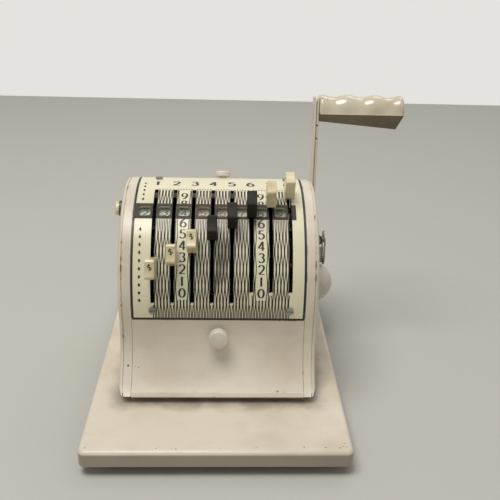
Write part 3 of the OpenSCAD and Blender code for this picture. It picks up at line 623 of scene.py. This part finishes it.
# Each figure is a list of pen lines in a box 1 wide (-0.5 to 0.5) and 1 high
DIGITS = {
    0: [arc(0, 0.5, 0.4, 0.48, 90, 450, 28)],
    1: [[(0, 0), (0, 0.5), (0, 1)]],
    2: [arc(-0.02, 0.72, 0.37, 0.27, 165, -15) + [(0.24, 0.48), (-0.05, 0.24), (-0.38, 0.04)],
        [(-0.4, 0.04), (0, 0.04), (0.42, 0.04)]],
    3: [arc(-0.02, 0.76, 0.32, 0.22, 155, -85), arc(-0.02, 0.27, 0.38, 0.27, 88, -155)],
    4: [[(0.14, 1), (-0.14, 0.64), (-0.44, 0.27)], [(-0.44, 0.27), (0, 0.27), (0.42, 0.27)],
        [(0.16, 1), (0.16, 0.5), (0.16, 0)]],
    5: [[(0.34, 0.96), (0, 0.96), (-0.26, 0.96)], [(-0.26, 0.97), (-0.29, 0.76), (-0.32, 0.56)],
        arc(-0.04, 0.31, 0.4, 0.31, 128, -152)],
    6: [arc(0, 0.3, 0.38, 0.3, 180, 540, 24), arc(0.3, 0.3, 0.68, 0.68, 180, 92)],
    7: [[(-0.4, 0.96), (0, 0.96), (0.4, 0.96)], [(0.4, 0.97), (0.1, 0.5), (-0.08, 0)]],
    8: [arc(0, 0.76, 0.31, 0.23, 90, 450, 22), arc(0, 0.28, 0.38, 0.28, 90, 450, 24)],
    9: [arc(0, 0.7, 0.38, 0.3, 0, 360, 24), arc(-0.3, 0.7, 0.68, 0.68, 0, -88)],
}


def pen(thick, thin):
    """Half width of a pen that draws uprights thick and level lines thin."""
    def half(dx, dy):
        return (thin + (thick - thin) * abs(dy) ** 1.3) / 2
    return half


def runs(points, keep):
    """The stretches of a line on which keep(u, v) is true."""
    out, now = [], []
    for p in points:
        if keep(*p):
            now.append(p)
        else:
            out.append(now)
            now = []
    out.append(now)
    return [r for r in out if len(r) > 1]


def figure(shape, lines, place, width, height, nib, keep=lambda u, v: True):
    """Draws the pen lines centred on the place's origin."""
    for line in lines:
        points = [(u * width, (v - 0.5) * height) for u, v in line]
        for run in runs(points, keep):
            shape.stroke(run, nib, place)


DOLLAR = [arc(0, 0.68, 0.34, 0.2, 30, 270, 12) + arc(0, 0.28, 0.34, 0.2, 90, -150, 12)[1:],
          [(0, -0.06), (0, 0.5), (0, 1.04)]]


def v_of(angle):
    """Arc length on the panel from the windows' middle up to that angle."""
    return math.radians(angle - WINDOW_A) * DRUM_R


HEADING_A = 87.0
LINES_PER_PITCH = 12


def weave_lines(shape):
    """Fine upright lines that lean together in pairs, by turns, between the slots."""
    place = on_drum(0, WINDOW_A, DRUM_R)
    gap = PITCH / LINES_PER_PITCH
    lens = 11.4
    low, top = v_of(PANEL_LOW_A) + 1.3, v_of(SLOT_TOP_A - 0.3)
    step = 0.9
    for i in range(LINES_PER_PITCH * (COUNT - 1)):
        x0 = SLOT_X[0] + (i + 0.5) * gap
        column, n = divmod(i, LINES_PER_PITCH)
        beside = min(n, LINES_PER_PITCH - 1 - n)
        middle_off = abs(n + 0.5 - LINES_PER_PITCH / 2) * gap
        blank = column in DIGIT_COLUMNS and middle_off < 2.9
        deep = min(column, column + (1 if n > LINES_PER_PITCH / 2 else 0)) < DEEP_COUNT
        slot_low = v_of(SLOT_LOW_A - (STEP_A if deep else 0)) - 0.9
        figures_low = v_of(ZERO_A) - 4.2
        points = []
        v = low
        while v < top:
            calm = min(1, max(0, (v_of(48) - v) / 6)) * min(1, max(0, (v - low) / 9))
            if v > BAND_HALF:
                calm = 0.75
            swing = (0.16 if beside == 1 else 0.35) * (0.15 + 0.85 * calm)
            sign = 1 if i % 2 else -1
            points.append((x0 + sign * swing * math.cos(math.pi * (v - low) / lens), v))
            v += step

        def keep(u, v, beside=beside, blank=blank, slot_low=slot_low):
            if abs(v) < BAND_HALF - 0.4:
                return False
            if beside == 0 and v > slot_low:
                return False
            return not (blank and v > figures_low)
        for run in runs(points, keep):
            shape.stroke(run, lambda dx, dy: 0.3, place)


def print_panel():
    """The weave and the figures printed on the keyboard panel."""
    shape = Shape()
    weave_lines(shape)
    nib = pen(1.3, 0.5)
    for column in DIGIT_COLUMNS:
        x = (SLOT_X[column] + SLOT_X[column + 1]) / 2
        for d in range(10):
            v0 = v_of(ZERO_A + d * STEP_A)

            def keep(u, v, v0=v0):
                return abs(v + v0) > BAND_HALF - 0.6
            figure(shape, DIGITS[d], on_drum(x, ZERO_A + d * STEP_A, DRUM_R), 4.5, 6.0, nib,
                   keep)
    for k, x in enumerate(SLOT_X):
        figure(shape, DIGITS[k + 1], on_drum(x, HEADING_A, DRUM_R), 5.4, 6.4, pen(1.8, 0.7))
    return shape


piece("keyboard_print", print_panel(), "panel_enamel", "root", material=INK)


def panel_borders():
    """Dark line along the panel's two sides and its lower edge."""
    shape = Shape()
    place = on_drum(0, WINDOW_A, DRUM_R)
    low, top = v_of(PANEL_LOW_A) + 0.8, v_of(RIDGE_A) - 0.4
    count = 60
    for side in (-1, 1):
        x = side * (HALF_PANEL - 0.75)
        shape.stroke([(x, low + (top - low) * i / count) for i in range(count + 1)],
                     lambda dx, dy: 0.7, place)
    shape.stroke([(-HALF_PANEL + 0.4, low), (0, low), (HALF_PANEL - 0.4, low)],
                 lambda dx, dy: 0.75, place)
    return shape


piece("keyboard_borders", panel_borders(), "panel_enamel", "root", material=INK)


def dot_row():
    """Row of fine dots at the level of the slots' upper ends."""
    shape = Shape()
    gap = PITCH / 7
    for i in range(int((SLOT_X[-1] - SLOT_X[0]) / gap) + 1):
        x = SLOT_X[0] + i * gap
        if min(abs(x - s) for s in SLOT_X) > SLOT_HALF + 0.3:
            shape.tile(arc(0, 0, 0.5, 0.5, 0, 330, 11), on_drum(x, SLOT_TOP_A + 0.5, DRUM_R))
    return shape


piece("keyboard_dots", dot_row(), "panel_enamel", "root", material=INK)


def lozenges():
    """Two upright rows of small lozenges in the left margin."""
    shape = Shape()
    x = (SLOT_X[0] - HALF_PANEL) / 2 - 1.4
    for angle in [6 + 4.6 * i for i in range(10)] + [69 + 4.4 * i for i in range(5)]:
        shape.tile([(0.9, 0), (0, 1.5), (-0.9, 0), (0, -1.5)], on_drum(x, angle, DRUM_R))
    return shape


piece("margin_lozenges", lozenges(), "panel_enamel", "root", material=INK)

# ---- Numerals behind the windows ----

STRIP_HALF = 3.8


def strip_numerals(k):
    """Numerals 0 to 9 on a selector's strip, with a short bar over each."""
    shape = Shape()
    x = SLOT_X[k] - PITCH / 2
    for d in range(10):
        angle = WINDOW_A + (SHOWN[k] - d) * STEP_A
        figure(shape, DIGITS[d], on_drum(x, angle + 1.7, STRIP_R + 0.05), 4.6, 3.9,
               pen(1.1, 0.6))
        bar = on_drum(x, angle + 4.75, STRIP_R + 0.05)
        shape.stroke([(-2.3, 0), (0, 0), (2.3, 0)], lambda dx, dy: 0.5, bar)
    return shape


def strip_ground(k):
    """The painted ground of a selector's numerals."""
    shape = Shape()
    x = SLOT_X[k] - PITCH / 2
    start, end = SHOWN[k] - 9.45, SHOWN[k] + 0.45
    rings = []
    for i in range(49):
        angle = WINDOW_A + (start + (end - start) * i / 48) * STEP_A
        place = on_drum(x, angle, STRIP_R)
        rings.append([place(u, 0, h) for u, h in (
            (-STRIP_HALF, 0.05), (STRIP_HALF, 0.05), (STRIP_HALF, -0.05), (-STRIP_HALF, -0.05))])
    shape.loft(rings)
    return shape


for k in range(COUNT):
    piece(f"window_numerals_{k + 1}", strip_numerals(k), "panel_enamel", f"figure_{k + 1}",
          material=RED_INK if k in RED_STRIPS else INK)
    piece(f"window_ground_{k + 1}", strip_ground(k), "plain_steel", f"figure_{k + 1}",
          material=STRIP_GROUND)

# ---- Housing ----

GROOVE = 0.8
SHELL_SOFT = 2.15
LIP_CORNER_R = 4.8
LIP_CORNER_CUTS = 6
LIP_FADE = 30

dressed("base_casting", "enamel", edge=0.6, segments=3, material=BASE_ENAMEL)


def round_lip_corner(obj, side, outer_x, front, foot):
    """Bends the square lower corner of a side into a round one, which fades out rearwards."""
    bm = bmesh.new()
    bm.from_mesh(obj.data)
    outer, low = outer_x * MM + ORIGIN.x, foot * MM + ORIGIN.z
    for k in range(1, LIP_CORNER_CUTS + 1):
        step = LIP_CORNER_R * k / LIP_CORNER_CUTS * MM
        for spot, normal in (((outer - side * step, 0, 0), (1, 0, 0)),
                             ((0, 0, low + step), (0, 0, 1))):
            bmesh.ops.bisect_plane(bm, geom=bm.verts[:] + bm.edges[:] + bm.faces[:],
                                   plane_co=spot, plane_no=normal, dist=1e-7)
    near = front * MM + ORIGIN.y
    for v in bm.verts:
        fade = min(1.0, max(0.0, 1.4 - (v.co.y - near) / (LIP_FADE * MM)))
        r = LIP_CORNER_R * MM * fade
        a, b = r - side * (outer - v.co.x), r - (v.co.z - low)
        if min(a, b, r) > 0:
            v.co.x = outer - side * (r - a * math.sqrt(1 - 0.5 * min(b / r, 1.0) ** 2))
            v.co.z = low + r - b * math.sqrt(1 - 0.5 * min(a / r, 1.0) ** 2)
    bm.to_mesh(obj.data)
    bm.free()


for side, word in ((-1, "left"), (1, "right")):
    frame_node, cover_node = f"{word}_side_frame", f"{word}_side_cover"
    frame = dressed(frame_node, "enamel", edge=0.35, segments=2)
    lo, hi = box_mm(cover_node)
    outline = side_loop(cover_node, side)
    inner_x, outer_x = (lo.x, hi.x) if side > 0 else (hi.x, lo.x)

    def place(x, p):
        return (x, p[0], p[1])
    step_x = inner_x + side * GROOVE
    ends = ((step_x, outer_x, 0.0, SHELL_SOFT) if side > 0
            else (outer_x, step_x, SHELL_SOFT, 0.0))
    shape = rounded_prism(outline, *ends, place, steps=8, lean=1.35)
    neck = inset(outline, GROOVE)
    shape.loft([[place(x, p) for p in neck] for x in (inner_x, step_x + side * 0.2)])
    shell = piece(f"{word}_side_shell", shape, "enamel", "root", replaces=[cover_node],
                  weighted=True)
    front = min(p[0] for p in outline)
    foot = min(p[1] for p in outline if p[0] < front + 6)
    for obj in (frame, shell):
        round_lip_corner(obj, side, outer_x, front, foot)

for node, finish, edge in (
        ("keyboard_panel", "panel_enamel", 0.25), ("window_bezel", "band", 0.18),
        ("front_panel", "enamel", 0.4), ("back_cover", "enamel", 0.3),
        ("rear_lid", "enamel", 0.35), ("side_cover_screws", "plain_steel", 0.3),
        ("panel_screws", "plain_steel", 0.25), ("rubber_feet", "black_rubber", 0.6),
        ("crank_stop", "black_rubber", 0.5), ("ribbon_knob", "dark_steel", 0.0)):
    dressed(node, finish, edge=edge)
dressed("crank_arm", "enamel", edge=0.8, segments=3)
dressed("hub_cap", "key_cream", edge=0.0, material=HUB_WHITE)


LINER_TOP, LINER_LOW = -0.12, -2.6


def slot_liners():
    """Black lining on the walls of the keyboard's slots: painted shade inside them."""
    shape = Shape()
    for k, x in enumerate(SLOT_X):
        low = SLOT_LOW_A - (STEP_A if k < DEEP_COUNT else 0)
        for side in (-1, 1):
            a, b = x + side * (SLOT_HALF + 0.01), x + side * (SLOT_HALF - 0.09)
            rings = []
            for i in range(61):
                angle = low + 0.15 + (SLOT_TOP_A - low - 0.3) * i / 60
                rings.append([arc_point(across, angle, DRUM_R + h) for across, h in (
                    (a, LINER_TOP), (b, LINER_TOP), (b, LINER_LOW), (a, LINER_LOW))])
            shape.loft(rings)
        top = on_drum(x, SLOT_TOP_A - 0.02, DRUM_R)
        shape.loft([[top(u, v, h) for u, v in (
            (-SLOT_HALF, 0), (SLOT_HALF, 0), (SLOT_HALF, -0.1), (-SLOT_HALF, -0.1))]
            for h in (LINER_TOP, LINER_LOW)])
    return shape


piece("slot_lining", slot_liners(), "panel_enamel", "root", material=SLOT_SHADE_LINER)

# ---- Keys ----

KEY_HALF = 3.2
KEY_LOW = 2.2
KEY_TOP = 17.5
KEY_DOWN, KEY_UP = -6.0, 6.69


def key_outline():
    """Side view of a cap as (height above the panel, along the panel), with a scoop."""
    scoop = [(KEY_TOP - 0.55 * math.sin(math.pi * i / 10),
              KEY_DOWN + 1.4 + (KEY_UP - KEY_DOWN - 3.2) * i / 10) for i in range(11)]
    return ([(KEY_LOW, KEY_DOWN + 1.5), (KEY_LOW + 2, KEY_DOWN), (KEY_TOP - 1.4, KEY_DOWN),
             (KEY_TOP - 0.45, KEY_DOWN + 0.45)] + scoop
            + [(KEY_TOP - 0.5, KEY_UP - 0.75), (KEY_TOP - 1.6, KEY_UP),
               (KEY_LOW + 2, KEY_UP + 1), (KEY_LOW, KEY_UP + 0.5)])


def key_place(k):
    x0, angle = SLOT_X[k], ZERO_A + SHOWN[k] * STEP_A
    a = math.radians(angle)
    out = Vector((0, -math.cos(a), math.sin(a)))
    up = Vector((0, math.sin(a), math.cos(a)))
    foot = Vector(arc_point(x0, angle, DRUM_R))

    def place(x, p):
        taper = 1 - 0.05 * (p[0] - KEY_LOW) / (KEY_TOP - KEY_LOW)
        return tuple(foot + Vector((x * taper, 0, 0)) + out * p[0] + up * p[1])
    return place


for k in range(COUNT):
    finish = "key_dark" if k in RED_STRIPS else "key_cream"
    place = key_place(k)
    shape = rounded_prism(round_corners(key_outline(), 0.9, 30), -KEY_HALF, KEY_HALF, 0.55,
                          0.55, place, 4)
    piece(f"key_cap_{k + 1}", shape, finish, f"figure_{k + 1}", replaces=[f"key_{k + 1}"],
          weighted=True)
    if k < 3:
        mark = Shape()

        def on_end(u, v, h, place=place):
            c, s = math.cos(0.25), math.sin(0.25)
            along = 1.6 + s * u + c * v
            t = (along + 4.6) / 9.5
            rise = KEY_TOP - 0.55 * math.sin(math.pi * min(1, max(0, t)))
            return place(c * u - s * v, (rise + h * 2, along))
        figure(mark, DOLLAR, on_end, 3.0, 3.8, pen(0.6, 0.45))
        piece(f"key_mark_{k + 1}", mark, finish, f"figure_{k + 1}", material=INK)

# ---- Crank grip ----

GRIP_LO, GRIP_HI = box_mm("hand_grip")
GRIP_LEN = GRIP_HI.x - GRIP_LO.x
GRIP_HALF = 10.5
GRIP_UP = 13.45
GRIP_SEAM = -4.5
GRIP_UNDER = -10.7
GRIP_TAPER = 5.0
GRIP_SLANT = 4.0
GRIP_WAVE = 1.8


def grip_stations(end_r):
    """Places along the grip, closer together at its rounded ends."""
    stations = [end_r * (1 - math.cos(math.pi / 2 * i / 6)) for i in range(7)]
    stations += [end_r + (GRIP_LEN - 2 * end_r) * i / 64 for i in range(1, 64)]
    return stations + [GRIP_LEN - s for s in reversed(stations[:7])]


def end_scale(s, end_r):
    """How much the grip's section shrinks at that place of a rounded end."""
    near = min(s, GRIP_LEN - s)
    if near >= end_r:
        return 1.0
    return 1 - (end_r - math.sqrt(end_r ** 2 - (end_r - near) ** 2)) / 12


def grip_top():
    """The grip above its seam, with finger waves on top and in front."""
    shape, rings, end_r = Shape(), [], 2.4
    for s in grip_stations(end_r):
        wave = (1 - math.cos(2 * math.pi * 3 * s / GRIP_LEN)) / 2
        top = GRIP_UP - 4.5 - GRIP_WAVE * wave
        scale = end_scale(s, end_r)
        ring = []
        for i in range(33):
            a = math.pi * i / 32
            y = (GRIP_HALF - 0.2) * math.cos(a)
            if y < 0:
                y *= 1 - 0.17 * wave * math.sin(a) ** 0.5
            z = (top - GRIP_SEAM) * max(0.0, math.sin(a)) ** 0.8
            ring.append(on_arm(GRIP_LO.x + s, y * scale, ARM_LEN + GRIP_SEAM + z * scale))
        rings.append(ring)
    shape.loft(rings)
    return shape


def grip_keel():
    """The flat-sided lower part of the grip, shorter at its outer end."""
    shape, rings, end_r = Shape(), [], 0.8
    for s in grip_stations(end_r):
        low = GRIP_UNDER - GRIP_TAPER * s / GRIP_LEN
        scale = end_scale(s, end_r)
        section = [(-GRIP_HALF + 0.35, GRIP_SEAM + 0.1), (-GRIP_HALF + 0.4, GRIP_SEAM - 0.5),
                   (-3.1, low + 0.7), (-2.5, low + 0.15), (-1.6, low), (3.2, low),
                   (4.2, low + 0.5), (GRIP_HALF - 0.4, GRIP_SEAM - 0.5),
                   (GRIP_HALF - 0.35, GRIP_SEAM + 0.1)]
        ring = []
        for y, z in section:
            depth = max(0.0, (GRIP_SEAM - z) / (GRIP_SEAM - low))
            x = GRIP_LO.x + s * (1 - GRIP_SLANT / GRIP_LEN * depth)
            ring.append(on_arm(x, y * scale, ARM_LEN + z))
        rings.append(ring)
    shape.loft(rings)
    return shape


def grip_seam_line():
    """The thin ledge along the seam in front."""
    shape = Shape()
    shape.loft([[on_arm(GRIP_LO.x + x, -GRIP_HALF + y, ARM_LEN + GRIP_SEAM + z)
                 for y, z in ((0.02, 0.3), (0.02, -0.4), (0.8, -0.5), (0.8, 0.4))]
                for x in (0.5, GRIP_LEN - 0.6)])
    return shape


piece("grip_body", grip_top(), "grip_cream", "crank", replaces=["hand_grip"], sharp=50)
# The keel wears the darker copy of the grip plastic as painted shade.
piece("grip_lower", grip_keel(), "grip_cream", "crank", material=GRIP_SHADED_UNDERSIDE, sharp=35)
# The ledge takes the lighter copy of the plastic as a painted highlight.
piece("grip_ledge", grip_seam_line(), "grip_cream", "crank", material=LEDGE_HIGHLIGHT, sharp=35)

# ---- Worn front edge of the arm, and the latch ----

ARM_LO, ARM_HI = box_mm("crank_arm")
PLATE_X = ARM_HI.x + 9.0
SCREW_X, SCREW_Z = ARM_HI.x + 3.9, 34.5
shape = Shape()
shape.stroke([(ARM_LO.x + 1.3 + 0.08 * math.sin(i * 2.1), 14 + i * 4.2) for i in range(31)],
             lambda dx, dy: 0.36, lambda u, v, h: on_arm(u, -7.5 - h, v))
piece("arm_worn_edge", shape, "enamel", "crank", material=WORN_EDGE)


def capsule(radius, low, high, steps=16):
    """Closed outline of an upright slot shape as (y, z)."""
    return (arc(0, high, radius, radius, 0, 180, steps)
            + arc(0, low, radius, radius, 180, 360, steps))


def latch():
    """Steel loop on two posts, with a tie between the arm and the loop."""
    shape = Shape()
    outer, inner = capsule(7.9, 22.5, 33.5), capsule(5.6, 24.5, 32.0)
    n = len(outer)
    rings = [[on_arm(PLATE_X + x, *p) for p in loop]
             for x, loop in ((0, outer), (0.9, outer), (0.9, inner), (0, inner))]
    start = len(shape.verts)
    for ring in rings:
        shape.verts += ring
    for j in range(4):
        for i in range(n):
            a, b = start + j * n, start + (j + 1) % 4 * n
            shape.faces.append((a + i, a + (i + 1) % n, b + (i + 1) % n, b + i))
    post_len = PLATE_X + 0.4 - ARM_HI.x
    for z in (18.2, SCREW_Z):
        shape.lathe([(0.01, 0), (2.3, 0), (2.3, post_len), (0.01, post_len)],
                    lambda a, b, h, z=z: on_arm(ARM_HI.x + h, a, z + b), 24)
    shape.loft([[on_arm(x, y, z) for y, z in ((-3.0, 20), (-1.8, 20), (-1.8, 29), (-3.0, 29))]
                for x in (ARM_HI.x + 0.1, PLATE_X + 0.1)])
    return shape


piece("latch_loop", latch(), "dark_steel", "crank", FINISHES["plain_steel"], ["latch_plate"],
      sharp=35)
shape = Shape()
shape.lathe([(0.01, 2.0), (3.9, 2.0), (4.3, 2.4), (4.3, 3.2), (3.9, 3.6), (0.01, 3.6)],
            lambda a, b, h: on_arm(SCREW_X + a, -h, SCREW_Z + b), 36)
piece("latch_washer", shape, "dark_steel", "crank")
shape = Shape()
shape.lathe([(0.01, 3.5), (2.7, 3.5), (2.7, 4.3), (2.2, 5.1), (1.1, 5.5), (0.01, 5.55)],
            lambda a, b, h: on_arm(SCREW_X + a, -h, SCREW_Z + b), 36)
piece("latch_screw", shape, "bright_steel", "crank")

# ---- Knobs ----

def axis_place(centre, axis, side):
    """Maps (a, b, h) to a disc about an axis, h along it."""
    axis, side = Vector(axis).normalized(), Vector(side).normalized()
    other = axis.cross(side)

    def place(a, b, h):
        return tuple(Vector(centre) + side * a + other * b + axis * h)
    return place


def rounded_end(radius, height, edge, dome=0.0, steps=6):
    """Profile points of a disc's outer edge and slightly domed face."""
    out = []
    for i in range(steps + 1):
        a = math.pi / 2 * i / steps
        out.append((radius - edge * (1 - math.cos(a)), height - dome - edge * (1 - math.sin(a))))
    for i in range(1, steps + 1):
        t = i / steps
        out.append(((radius - edge) * (1 - t) + 0.01, height - dome * (1 - t) ** 2))
    return out


LID_SLOPE = math.radians(24)
LID_UP = Vector((0, math.sin(LID_SLOPE), math.cos(LID_SLOPE)))
KNOB_H, KNOB_R = 5.4, 5.5
knob_foot = middle("top_knob") - LID_UP * 3.35
shape = Shape()
shape.lathe([(0.01, 0), (2.5, 0), (2.5, 0.9), (3.4, 1.1), (KNOB_R - 0.6, 1.3),
             (KNOB_R - 0.1, 1.7)] + rounded_end(KNOB_R, KNOB_H, 1.1, 0.3),
            axis_place(knob_foot, LID_UP, (1, 0, 0)))
piece("lid_knob", shape, "key_cream", "lid", material=KNOB_WHITE, replaces=["top_knob"])

# The push button stands square to the flared front panel
BUTTON_DIR = Vector((0, -0.99098, 0.13399))
BUTTON_R, BUTTON_LEN = 6.25, 18.5
button_foot = middle("front_button") - BUTTON_DIR * BUTTON_LEN / 2
shape = Shape()
shape.lathe([(0.01, 0), (3.0, 0), (3.0, 12.0), (BUTTON_R - 0.3, 12.0), (BUTTON_R, 12.3)]
            + rounded_end(BUTTON_R, BUTTON_LEN, 0.9, 0.3),
            axis_place(button_foot, BUTTON_DIR, (1, 0, 0)))
piece("push_button", shape, "key_cream", "button", material=KNOB_WHITE,
      replaces=["front_button"])

cap_lo, cap_hi = box_mm("ribbon_knob_cap")
cap_mid = middle("ribbon_knob_cap")
cap_r, cap_t = (cap_hi.y - cap_lo.y) / 2, cap_hi.x - cap_lo.x
shape = Shape()
shape.lathe([(0.01, 0), (cap_r, 0)] + rounded_end(cap_r, cap_t, 1.1, 0.4),
            axis_place((cap_hi.x, cap_mid.y, cap_mid.z), (-1, 0, 0), (0, 1, 0)))
piece("ribbon_knob_face", shape, "key_cream", "rear_reel", replaces=["ribbon_knob_cap"])

# ---- Chips and scratches ----

BASE_TOP = box_mm("base_casting")[1].z
FLARE_FROM_A, FLARE_TO_A = 173.5, 236.5
FLARE_HIGH = arc_point(0, PANEL_LOW_A, DRUM_R)[2] - box_mm("front_panel")[0].z
FLARE_R = FLARE_HIGH / (math.sin(math.radians(FLARE_FROM_A))
                        - math.sin(math.radians(FLARE_TO_A)))
FLARE_C = arc_point(0, PANEL_LOW_A, DRUM_R + FLARE_R)


def on_flare(u, v, h):
    """A point of the flared front panel: u to the right, v in degrees down its curve."""
    a, r = math.radians(FLARE_FROM_A + v), FLARE_R - h
    return (u, FLARE_C[1] - r * math.cos(a), FLARE_C[2] + r * math.sin(a))


def chip(shape, u, v, size, place, seed):
    """A small ragged spot where the enamel is gone."""
    outline = []
    for i in range(9):
        a = 2 * math.pi * i / 9
        r = size * (0.62 + 0.38 * math.sin(seed * 1.7 + i * 2.3))
        outline.append((u + 1.5 * r * math.cos(a), v + 0.8 * r * math.sin(a)))
    shape.tile(outline, place, 0.025, -0.05)


BASE_CHIPS = ((-36.4, 3.9, 0.6), (-35.2, 5.4, 0.3), (-27, 3.6, 0.5), (-24.6, 3.5, 0.7),
              (1.6, 3.8, 0.4), (23.7, 4.4, 0.5), (52.7, 5.2, 0.9), (54.5, 4.2, 0.4),
              (65.7, 4.6, 0.7), (74.5, 4.4, 0.8), (76.8, 5.6, 0.6), (77.9, 8.2, 0.7),
              (78.8, 5.2, 0.5), (76.0, 8.6, 0.35), (-78.5, 4.6, 0.6), (-60.2, 41, 0.4),
              (44.8, 37, 0.35), (68.2, 71, 0.6), (72.6, 98, 0.7), (-74.4, 88, 0.4))
FLARE_CHIPS = ((8.6, 8.4, 0.5), (9.9, 9.6, 0.3), (21.3, 16, 0.45), (44, 42, 0.35),
               (-49, 35, 0.3), (-47.6, 20, 0.25))


def chips():
    """The chips on top of the base and those on the flared front, as (u, v, size)."""
    shape = Shape()
    for i, (u, v, size) in enumerate(BASE_CHIPS):
        chip(shape, u, v, size, lambda u, v, h: (u, v, BASE_TOP + h), i)
    for i, (u, v, size) in enumerate(FLARE_CHIPS):
        chip(shape, u, v, size, on_flare, i + 50)
    return shape


piece("enamel_chips", chips(), "enamel", "root", material=WORN_EDGE)


def scratches():
    """Fine scratches on the flared front."""
    shape = Shape()
    lines = (((7.4, 11.5), (8.4, 9.2), (9.0, 7.6)), ((9.2, 9.4), (10.6, 8.2), (12.2, 7.7)),
             ((20.2, 17.2), (21.6, 16.4), (22.8, 16.7)), ((30, 25), (33, 24.6), (36, 24.9)),
             ((-41, 44), (-36, 43.6), (-30, 44.1)))
    for line in lines:
        shape.stroke(list(line), lambda dx, dy: 0.11, on_flare, 0.02, -0.05)
    return shape


piece("panel_scratches", scratches(), "enamel", "root", material=WORN_EDGE)

# ---- The other CAD nodes keep their shape and take the finish of their slot, but the selectors and the upper crossbar, seen through the slots, take black steel as painted shade ----

NODES_IN_SLOT_SHADE = [n for n in NODES if n.startswith("selector_")] + ["upper_crossbar"]
for node, obj in NODES.items():
    if not obj.hide_render:
        slot = obj.data.materials[0].name.split(".")[0]
        obj.data.materials[0] = SLOT_SHADE_STEEL if node in NODES_IN_SLOT_SHADE else FINISHES[slot]
        shade(obj.data, 30)

# ---- Stage, lights and camera ----

def add_floor(colour):
    mesh = bpy.data.meshes.new("floor")
    corners = [(-3, -3, 0), (3, -3, 0), (3, 0.9, 0), (-3, 0.9, 0)]
    mesh.from_pydata(corners, [], [(0, 1, 2, 3)])
    obj = bpy.data.objects.new("floor", mesh)
    bpy.context.scene.collection.objects.link(obj)
    mesh.materials.append(Graph("floor", colour, 0.85).material)


add_floor(srgb(190, 189, 181))


def studio_world(colour, light):
    """Plain light all round, and a pale wall where the camera or a reflection looks."""
    world = bpy.data.worlds.new("studio")
    bpy.context.scene.world = world
    world.use_nodes = True
    tree = world.node_tree
    background = tree.nodes["Background"]
    background.inputs["Color"].default_value = colour
    rays = tree.nodes.new("ShaderNodeLightPath")
    seen = rays.outputs["Is Camera Ray"]
    for kind in ("Is Glossy Ray", "Is Transmission Ray"):
        widest = tree.nodes.new("ShaderNodeMath")
        widest.operation = "MAXIMUM"
        tree.links.new(seen, widest.inputs[0])
        tree.links.new(rays.outputs[kind], widest.inputs[1])
        seen = widest.outputs[0]
    strength = tree.nodes.new("ShaderNodeMapRange")
    strength.inputs["To Min"].default_value = light
    strength.inputs["To Max"].default_value = 1.0
    tree.links.new(seen, strength.inputs["Value"])
    tree.links.new(strength.outputs["Result"], background.inputs["Strength"])


studio_world(srgb(228, 227, 223), 0.46)


def lamp(name, spot, target, size, power, colour=(1, 1, 1)):
    data = bpy.data.lights.new(name, "AREA")
    data.shape, data.size, data.energy, data.color = "DISK", size, power, colour
    obj = bpy.data.objects.new(name, data)
    bpy.context.scene.collection.objects.link(obj)
    obj.location = spot
    obj.rotation_euler = (Vector(target) - Vector(spot)).to_track_quat("-Z", "Y").to_euler()


lamp("overhead", (-0.34, -0.25, 1.45), (0, 0, 0.05), 0.8, 14.0, (1.0, 0.985, 0.95))
lamp("back_fill", (0.5, 0.9, 1.5), (0, 0, 0.08), 0.8, 3.0)

CAMERA_AT = (1.97, -315.56, 298.59)
CAMERA_PITCH, CAMERA_YAW, CAMERA_ROLL = 24.99, 2.57, 1.73
FOCAL_PIXELS, PICTURE_PIXELS = 680, 500


def add_camera():
    pitch, yaw = math.radians(CAMERA_PITCH), math.radians(CAMERA_YAW)
    roll = math.radians(CAMERA_ROLL)
    forward = Vector((math.sin(yaw) * math.cos(pitch), math.cos(yaw) * math.cos(pitch),
                      -math.sin(pitch)))
    right = Vector((math.cos(yaw), -math.sin(yaw), 0))
    up = right.cross(forward)
    right, up = (math.cos(roll) * right + math.sin(roll) * up,
                 math.cos(roll) * up - math.sin(roll) * right)
    data = bpy.data.cameras.new("camera")
    data.sensor_width = 36
    data.lens = data.sensor_width * FOCAL_PIXELS / PICTURE_PIXELS
    data.clip_start = 0.01
    obj = bpy.data.objects.new("camera", data)
    bpy.context.scene.collection.objects.link(obj)
    obj.location = metres(CAMERA_AT)
    axes = Matrix((right, up, -forward)).transposed()
    obj.rotation_mode = "QUATERNION"
    obj.rotation_quaternion = axes.to_quaternion()
    bpy.context.scene.camera = obj


add_camera()
bpy.context.scene.view_settings.view_transform = "Standard"
bpy.context.view_layer.update()
